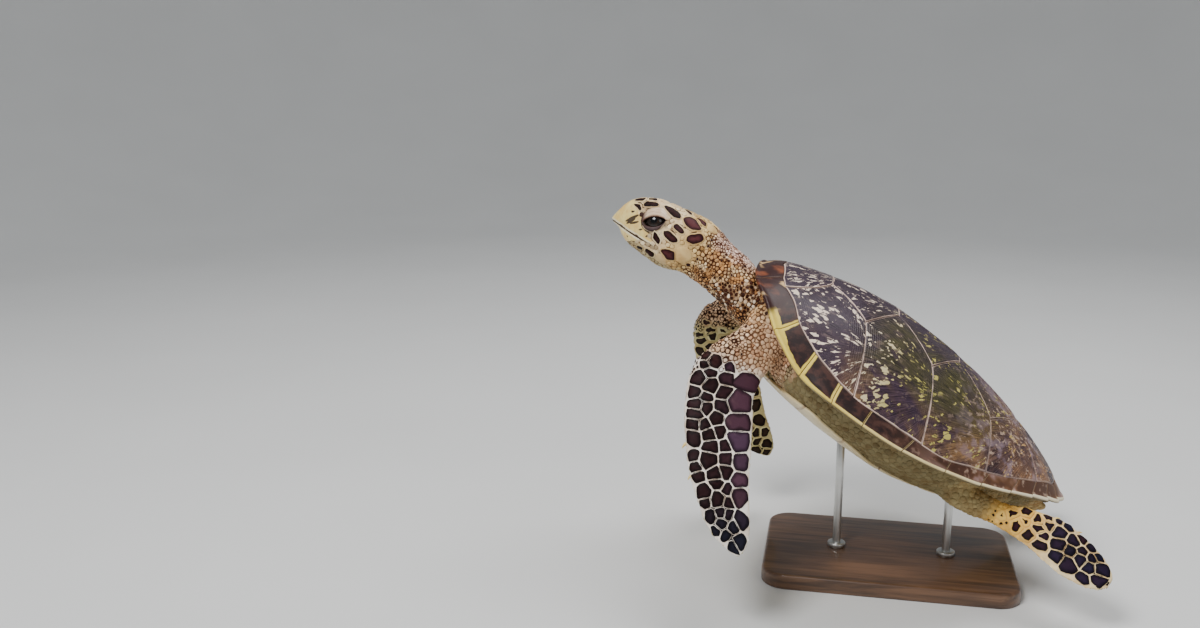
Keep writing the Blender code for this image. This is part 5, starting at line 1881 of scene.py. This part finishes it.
def streak_depth(at, upper):
    """Depth in metres inside the nearest dark stroke or behind the lids, negative outside."""
    depth = np.full(len(at), -.01)
    for first, last, half in STROKES if upper else ():
        first, run = np.array(first), np.subtract(last, first)
        away = at[:, [0, 2]] - first
        share = np.clip(away @ run / (run @ run), 0, 1)
        gap = SHELL * np.linalg.norm(away - share[:, None] * run, axis=1)
        depth = np.maximum(depth, half * (.45 + 2.2 * share * (1 - share)) - gap)
    # Painted shade: the horn also goes dark behind the lids.
    for side in (-1, 1):
        x, y, z = eye_place(at * SHELL, side)
        depth = np.maximum(depth, np.where(z > 0, SLIT * (.97 - np.hypot(x / SLIT, y / LID_DOWN)), -.01))
    return depth


def beak():
    """Both horn sheaths, cut from the head's own form, evened and rounded."""
    x = np.concatenate([-.8995 + .03 * np.linspace(0, 1, 14) ** 2, np.linspace(-.865, -.70, 36)])
    points, faces = tube([head_ring(k) for k in x])
    spots = ((x, 0, float(curve(x, MOUTH_AT))) for x in (-.8995, SHEATH_END, JAW_END))
    tip, corner, chin = (SHELL * np.array(spot) for spot in spots)
    brow = SHELL * np.array([SHEATH_TOP[0], 0, SHEATH_TOP[1]])
    above = np.cross(brow - corner, (0, 1, 0))
    above = unit(above * np.sign(above[0]))
    down = unit(np.cross(corner - tip, (0, 1, 0)))
    down = down * -np.sign(down[2])
    sheaths = (("beak_upper", [(corner - .0003 * down, down), (corner, above)]),
               ("beak_lower", [(corner + .0006 * down, -down), (chin, unit((1, 0, -.9)))]))
    for name, planes in sheaths:
        spots, quads = remeshed(*cut_shell(points, faces, planes), .0007)
        spots = relaxed(spots, quads, np.full(len(spots), .5), 14)
        spots = spots + .00012 * ripple(spots, .010, 8)[:, None] * surface_normals(spots, quads)
        streak = streak_depth(spots / SHELL, "upper" in name)
        fields = {"tall": np.abs((spots - corner) @ down), "streak": streak}
        piece = add_piece(name + "_horn", to_world(spots), [quads], beak_horn, fields)
        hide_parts(name)


beak()

# %% Eyes and claws
def eyes():
    """Two balls with their pole along the line of sight: points centre + r (sin cos, sin sin, cos)."""
    for side, word in ((-1, "left"), (1, "right")):
        centre, back, up, out = eye_frame(side)
        turn = np.linspace(0, np.pi, 33)[1:-1, None]
        around = np.linspace(0, 2 * np.pi, 48, endpoint=False)[None]
        x, y = np.sin(turn) * np.cos(around), np.sin(turn) * np.sin(around)
        z = np.cos(turn) * np.ones_like(around)
        ball = x[..., None] * back + y[..., None] * up + z[..., None] * out
        points, faces = tube(list(centre + BALL * ball))
        x, y, z = eye_place(points, side)
        axis = np.where(z > 0, np.hypot(x, y), BALL)
        faces = tube_faces(points, faces)
        piece = add_piece("eye_ball_" + word, to_world(points), faces, eye_black, {"axis": axis})
        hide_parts("eye_" + word)


def claw(name, limb, reach, size):
    """One curved claw: circles whose radius falls as (1 - t^1.6)^1/2 along a line bent like t^2."""
    lead, lift = (curve(reach, limb.table[[0, k]]) for k in (2, 4))
    root = SHELL * (limb.origin + reach * limb.span + (lead - .004) * limb.chord + lift * limb.out)
    t = np.linspace(0, 1, 14)
    line = root + size * (t[:, None] * limb.chord * .8 + (t ** 2)[:, None] * limb.span * .9)
    thick = size * .34 * np.sqrt(np.maximum(1 - t ** 1.6, .004))
    turn = np.linspace(0, 2 * np.pi, 16, endpoint=False)[:, None]
    circle = np.cos(turn) * unit(limb.span - limb.chord * .4) + .8 * np.sin(turn) * limb.out
    points, faces = tube([p + r * circle for p, r in zip(line, thick)])
    tall = np.linalg.norm(points - root, axis=1)
    fields = {"tall": tall + .004, "streak": tall * 0 - .01}
    add_piece(name, to_world(points), tube_faces(points, faces), beak_horn, fields)


def claws():
    """Two claws on each limb, as (reach, size)."""
    for name, limb in LIMBS.items():
        pair = ((.235, .0060), (.315, .0052)) if "front" in name else ((.165, .0050), (.225, .0045))
        for k, (reach, size) in enumerate(pair):
            claw(f"claw_{name}_{k + 1}", limb, reach, size)


eyes()
claws()

# %% [markdown]
# ## Belly plate
#
# The plastron is a bony plate under horn whose seams show as grooves: one along the middle, six
# across and a long one on each side. Separate plates would be hard to tell apart from below, so it
# is one slab that follows the belly, pressed in by a groove $e^{-(d/w)^2}$ at distance $d$ from the
# nearest seam. The same distance, kept as an attribute, darkens the seams.

# %% Belly plate
def plastron_looks():
    """Cream horn with tan clouds and brown seams."""
    looks = Looks("plastron_horn")
    seam = looks.field("seam")
    world = looks.place()
    cloud = looks.noise(world, 14.0, 4.0, .6, .5)
    fine = looks.noise(world, 130.0, 3.0, .6)
    colour = cloud.step(.32, .68).mix((.66, .50, .24), (.78, .66, .40))
    colour = (cloud.step(.60, .74) * seam.step(.010, .022) * .6).mix(colour, (.22, .12, .06))
    colour = seam.step(.0022, .0008).mix(colour, (.36, .22, .12))
    normal = looks.bump(fine * .6 + cloud, .30, .0008)
    return looks.finish(Base_Color=colour, Roughness=.32 + fine * .2, Normal=normal, Coat_Weight=.2,
                        Coat_Roughness=.2)


def plastron():
    """A slab under the belly: its outline from a table of half widths, its border rounded off."""
    s = np.linspace(.10, .85, 120)[:, None]
    across = np.sin(np.linspace(-np.pi / 2, np.pi / 2, 71))[None] * .995
    half = curve(s, PLASTRON_AT)
    y = half * across
    s = np.broadcast_to(s, y.shape)
    grid = np.stack([s - .5, y, under_height(s, y)], -1)
    normal = unit(np.cross(np.gradient(grid, axis=0), np.gradient(grid, axis=1)))
    normal = normal * np.where(normal[..., 2:] > 0, -1, 1)
    bent = s + .018 * np.cos(across * np.pi)
    cross = np.abs(bent[..., None] - np.array([.175, .275, .40, .53, .655, .765])).min(-1)
    side = np.abs(np.abs(y) - .66 * half * (1 + .05 * np.sin(s * 20)))
    seam = SHELL * np.minimum(np.minimum(cross, np.abs(y)), side)
    groove = .0010 * np.exp(-(seam / .0011) ** 2) / SHELL
    rim = SHELL * half * (1 - np.abs(across))
    ease_off = .0010 * np.exp(-rim / .0012) / SHELL
    low = SHELL * (grid + normal * (CLEAR + PLATE - groove - ease_off)[..., None])
    points, faces = slab(low, SHELL * (grid + normal * .0006))
    fields = {"seam": np.tile(seam.ravel(), 2)}
    piece = add_piece("plastron_horn_plate", points, faces, plastron_looks(), fields)
    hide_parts("plastron")


plastron()
print("belly plate made")

# %% [markdown]
# ## Stand
#
# A museum mount is meant to be overlooked: a heavy board, so that it can't tip, and two thin rods
# that end in the belly. The board is its round-cornered outline drawn in towards the top, and rods
# and collars are profiles turned round an upright axis. A rod's place and length come from the CAD
# part, so the two can't drift apart.

# %% Wood and steel
# The board's length and width, height, corner radius and edge radius, in metres
BASE, BASE_HEIGHT, BASE_CORNER, BASE_EDGE = (.300, .200), .018, .030, .004


def wood_looks():
    """Dark wood with long rings and fine fibres along X, under varnish."""
    looks = Looks("base_wood")
    world = looks.place()
    warped = world.stretched(1.2, 14.0, 14.0)
    rings = looks.noise(warped, 4.0, 4.0, .55, 1.2)
    fibre = looks.noise(world.stretched(5.0, 160.0, 160.0), 3.0, 3.0, .6)
    colour = rings.step(.32, .68).mix((.060, .028, .014), (.190, .092, .045))
    colour = (fibre.step(.50, .74) * .5).mix(colour, (.035, .016, .009))
    normal = looks.bump(fibre + rings * .3, .25, .0004)
    return looks.finish(Base_Color=colour, Roughness=.30 + fibre * .22, Normal=normal, Coat_Weight=.5,
                        Coat_Roughness=.12)


def steel_looks():
    """Grey steel brushed round the rods."""
    looks = Looks("rod_steel")
    world = looks.place()
    brushed = looks.noise(world.stretched(1400.0, 1400.0, 22.0), 1.0, 2.0, .5)
    cloud = looks.noise(world, 40.0, 2.0)
    colour = cloud.mix((.52, .52, .51), (.66, .66, .64))
    normal = looks.bump(brushed, .12, .0002)
    return looks.finish(Base_Color=colour, Metallic=1.0, Roughness=.24 + brushed * .16, Normal=normal)


wood, steel = wood_looks(), steel_looks()
print("wood and steel ready")

# %% Board, rods and collars
def board(inset, z):
    """Outline of the board with round corners, at one height."""
    turn = np.linspace(0, np.pi / 2, 13)
    points = []
    for k, (mid_x, mid_y) in enumerate(((1, 1), (-1, 1), (-1, -1), (1, -1))):
        centre = np.array([mid_x * (BASE[0] / 2 - BASE_CORNER), mid_y * (BASE[1] / 2 - BASE_CORNER)])
        angle = turn + k * np.pi / 2
        points.append(centre + (BASE_CORNER - inset) * np.stack([np.cos(angle), np.sin(angle)], 1))
    ring = np.concatenate(points)
    return np.column_stack([ring, np.full(len(ring), z)])


def lathe(centre, profile):
    """Rings of a turned piece round a vertical axis, from (radius, height) pairs."""
    turn = np.arange(40) * 2 * np.pi / 40
    x, y = np.cos(turn), np.sin(turn)
    return [np.column_stack([centre[0] + r * x, centre[1] + r * y, np.full(40, z)]) for r, z in profile]


def stand_piece(name, rings, looks, node):
    """A tube with smooth sides and crisp edges, in place of a node of the stand."""
    points, faces = tube(rings)
    piece = add_piece(name, points, tube_faces(points, faces), looks)
    piece.data.set_sharp_from_angle(angle=math.radians(50))
    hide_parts(node)


def stand_board():
    """The board, from its underside up to the quarter round along its top edge."""
    sides = [board(.0008, 0), board(0, .0008), board(0, .006), board(0, BASE_HEIGHT - BASE_EDGE)]
    for a in np.linspace(0, np.pi / 2, 7)[1:]:
        sides.append(board(BASE_EDGE * (1 - math.cos(a)), BASE_HEIGHT - BASE_EDGE * (1 - math.sin(a))))
    stand_piece("stand_board", sides, wood, "stand_base")


def rod_and_collar(word):
    """A rod with a small bevel at its top, and the collar round its foot."""
    low, high = (np.array(c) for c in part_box("stand_rod_" + word))
    centre, radius = (low + high) / 2, (high[0] - low[0]) / 2
    profile = [(radius, low[2]), (radius, centre[2]), (radius, high[2] - .001), (radius * .8, high[2])]
    rod = lathe(centre, profile)
    stand_piece("stand_steel_rod_" + word, rod, steel, "stand_rod_" + word)
    low, high = (np.array(c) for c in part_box("stand_collar_" + word))
    wide, top, foot = (high[0] - low[0]) / 2, high[2], low[2]
    profile = [(wide * .97, foot), (wide, foot + .0006), (wide, top - .0012), (wide - .0004, top - .0004),
               (wide - .0012, top), (radius + .0002, top)]
    collar = lathe(centre, profile)
    stand_piece("stand_steel_collar_" + word, collar, steel, "stand_collar_" + word)


stand_board()
rod_and_collar("front")
rod_and_collar("rear")
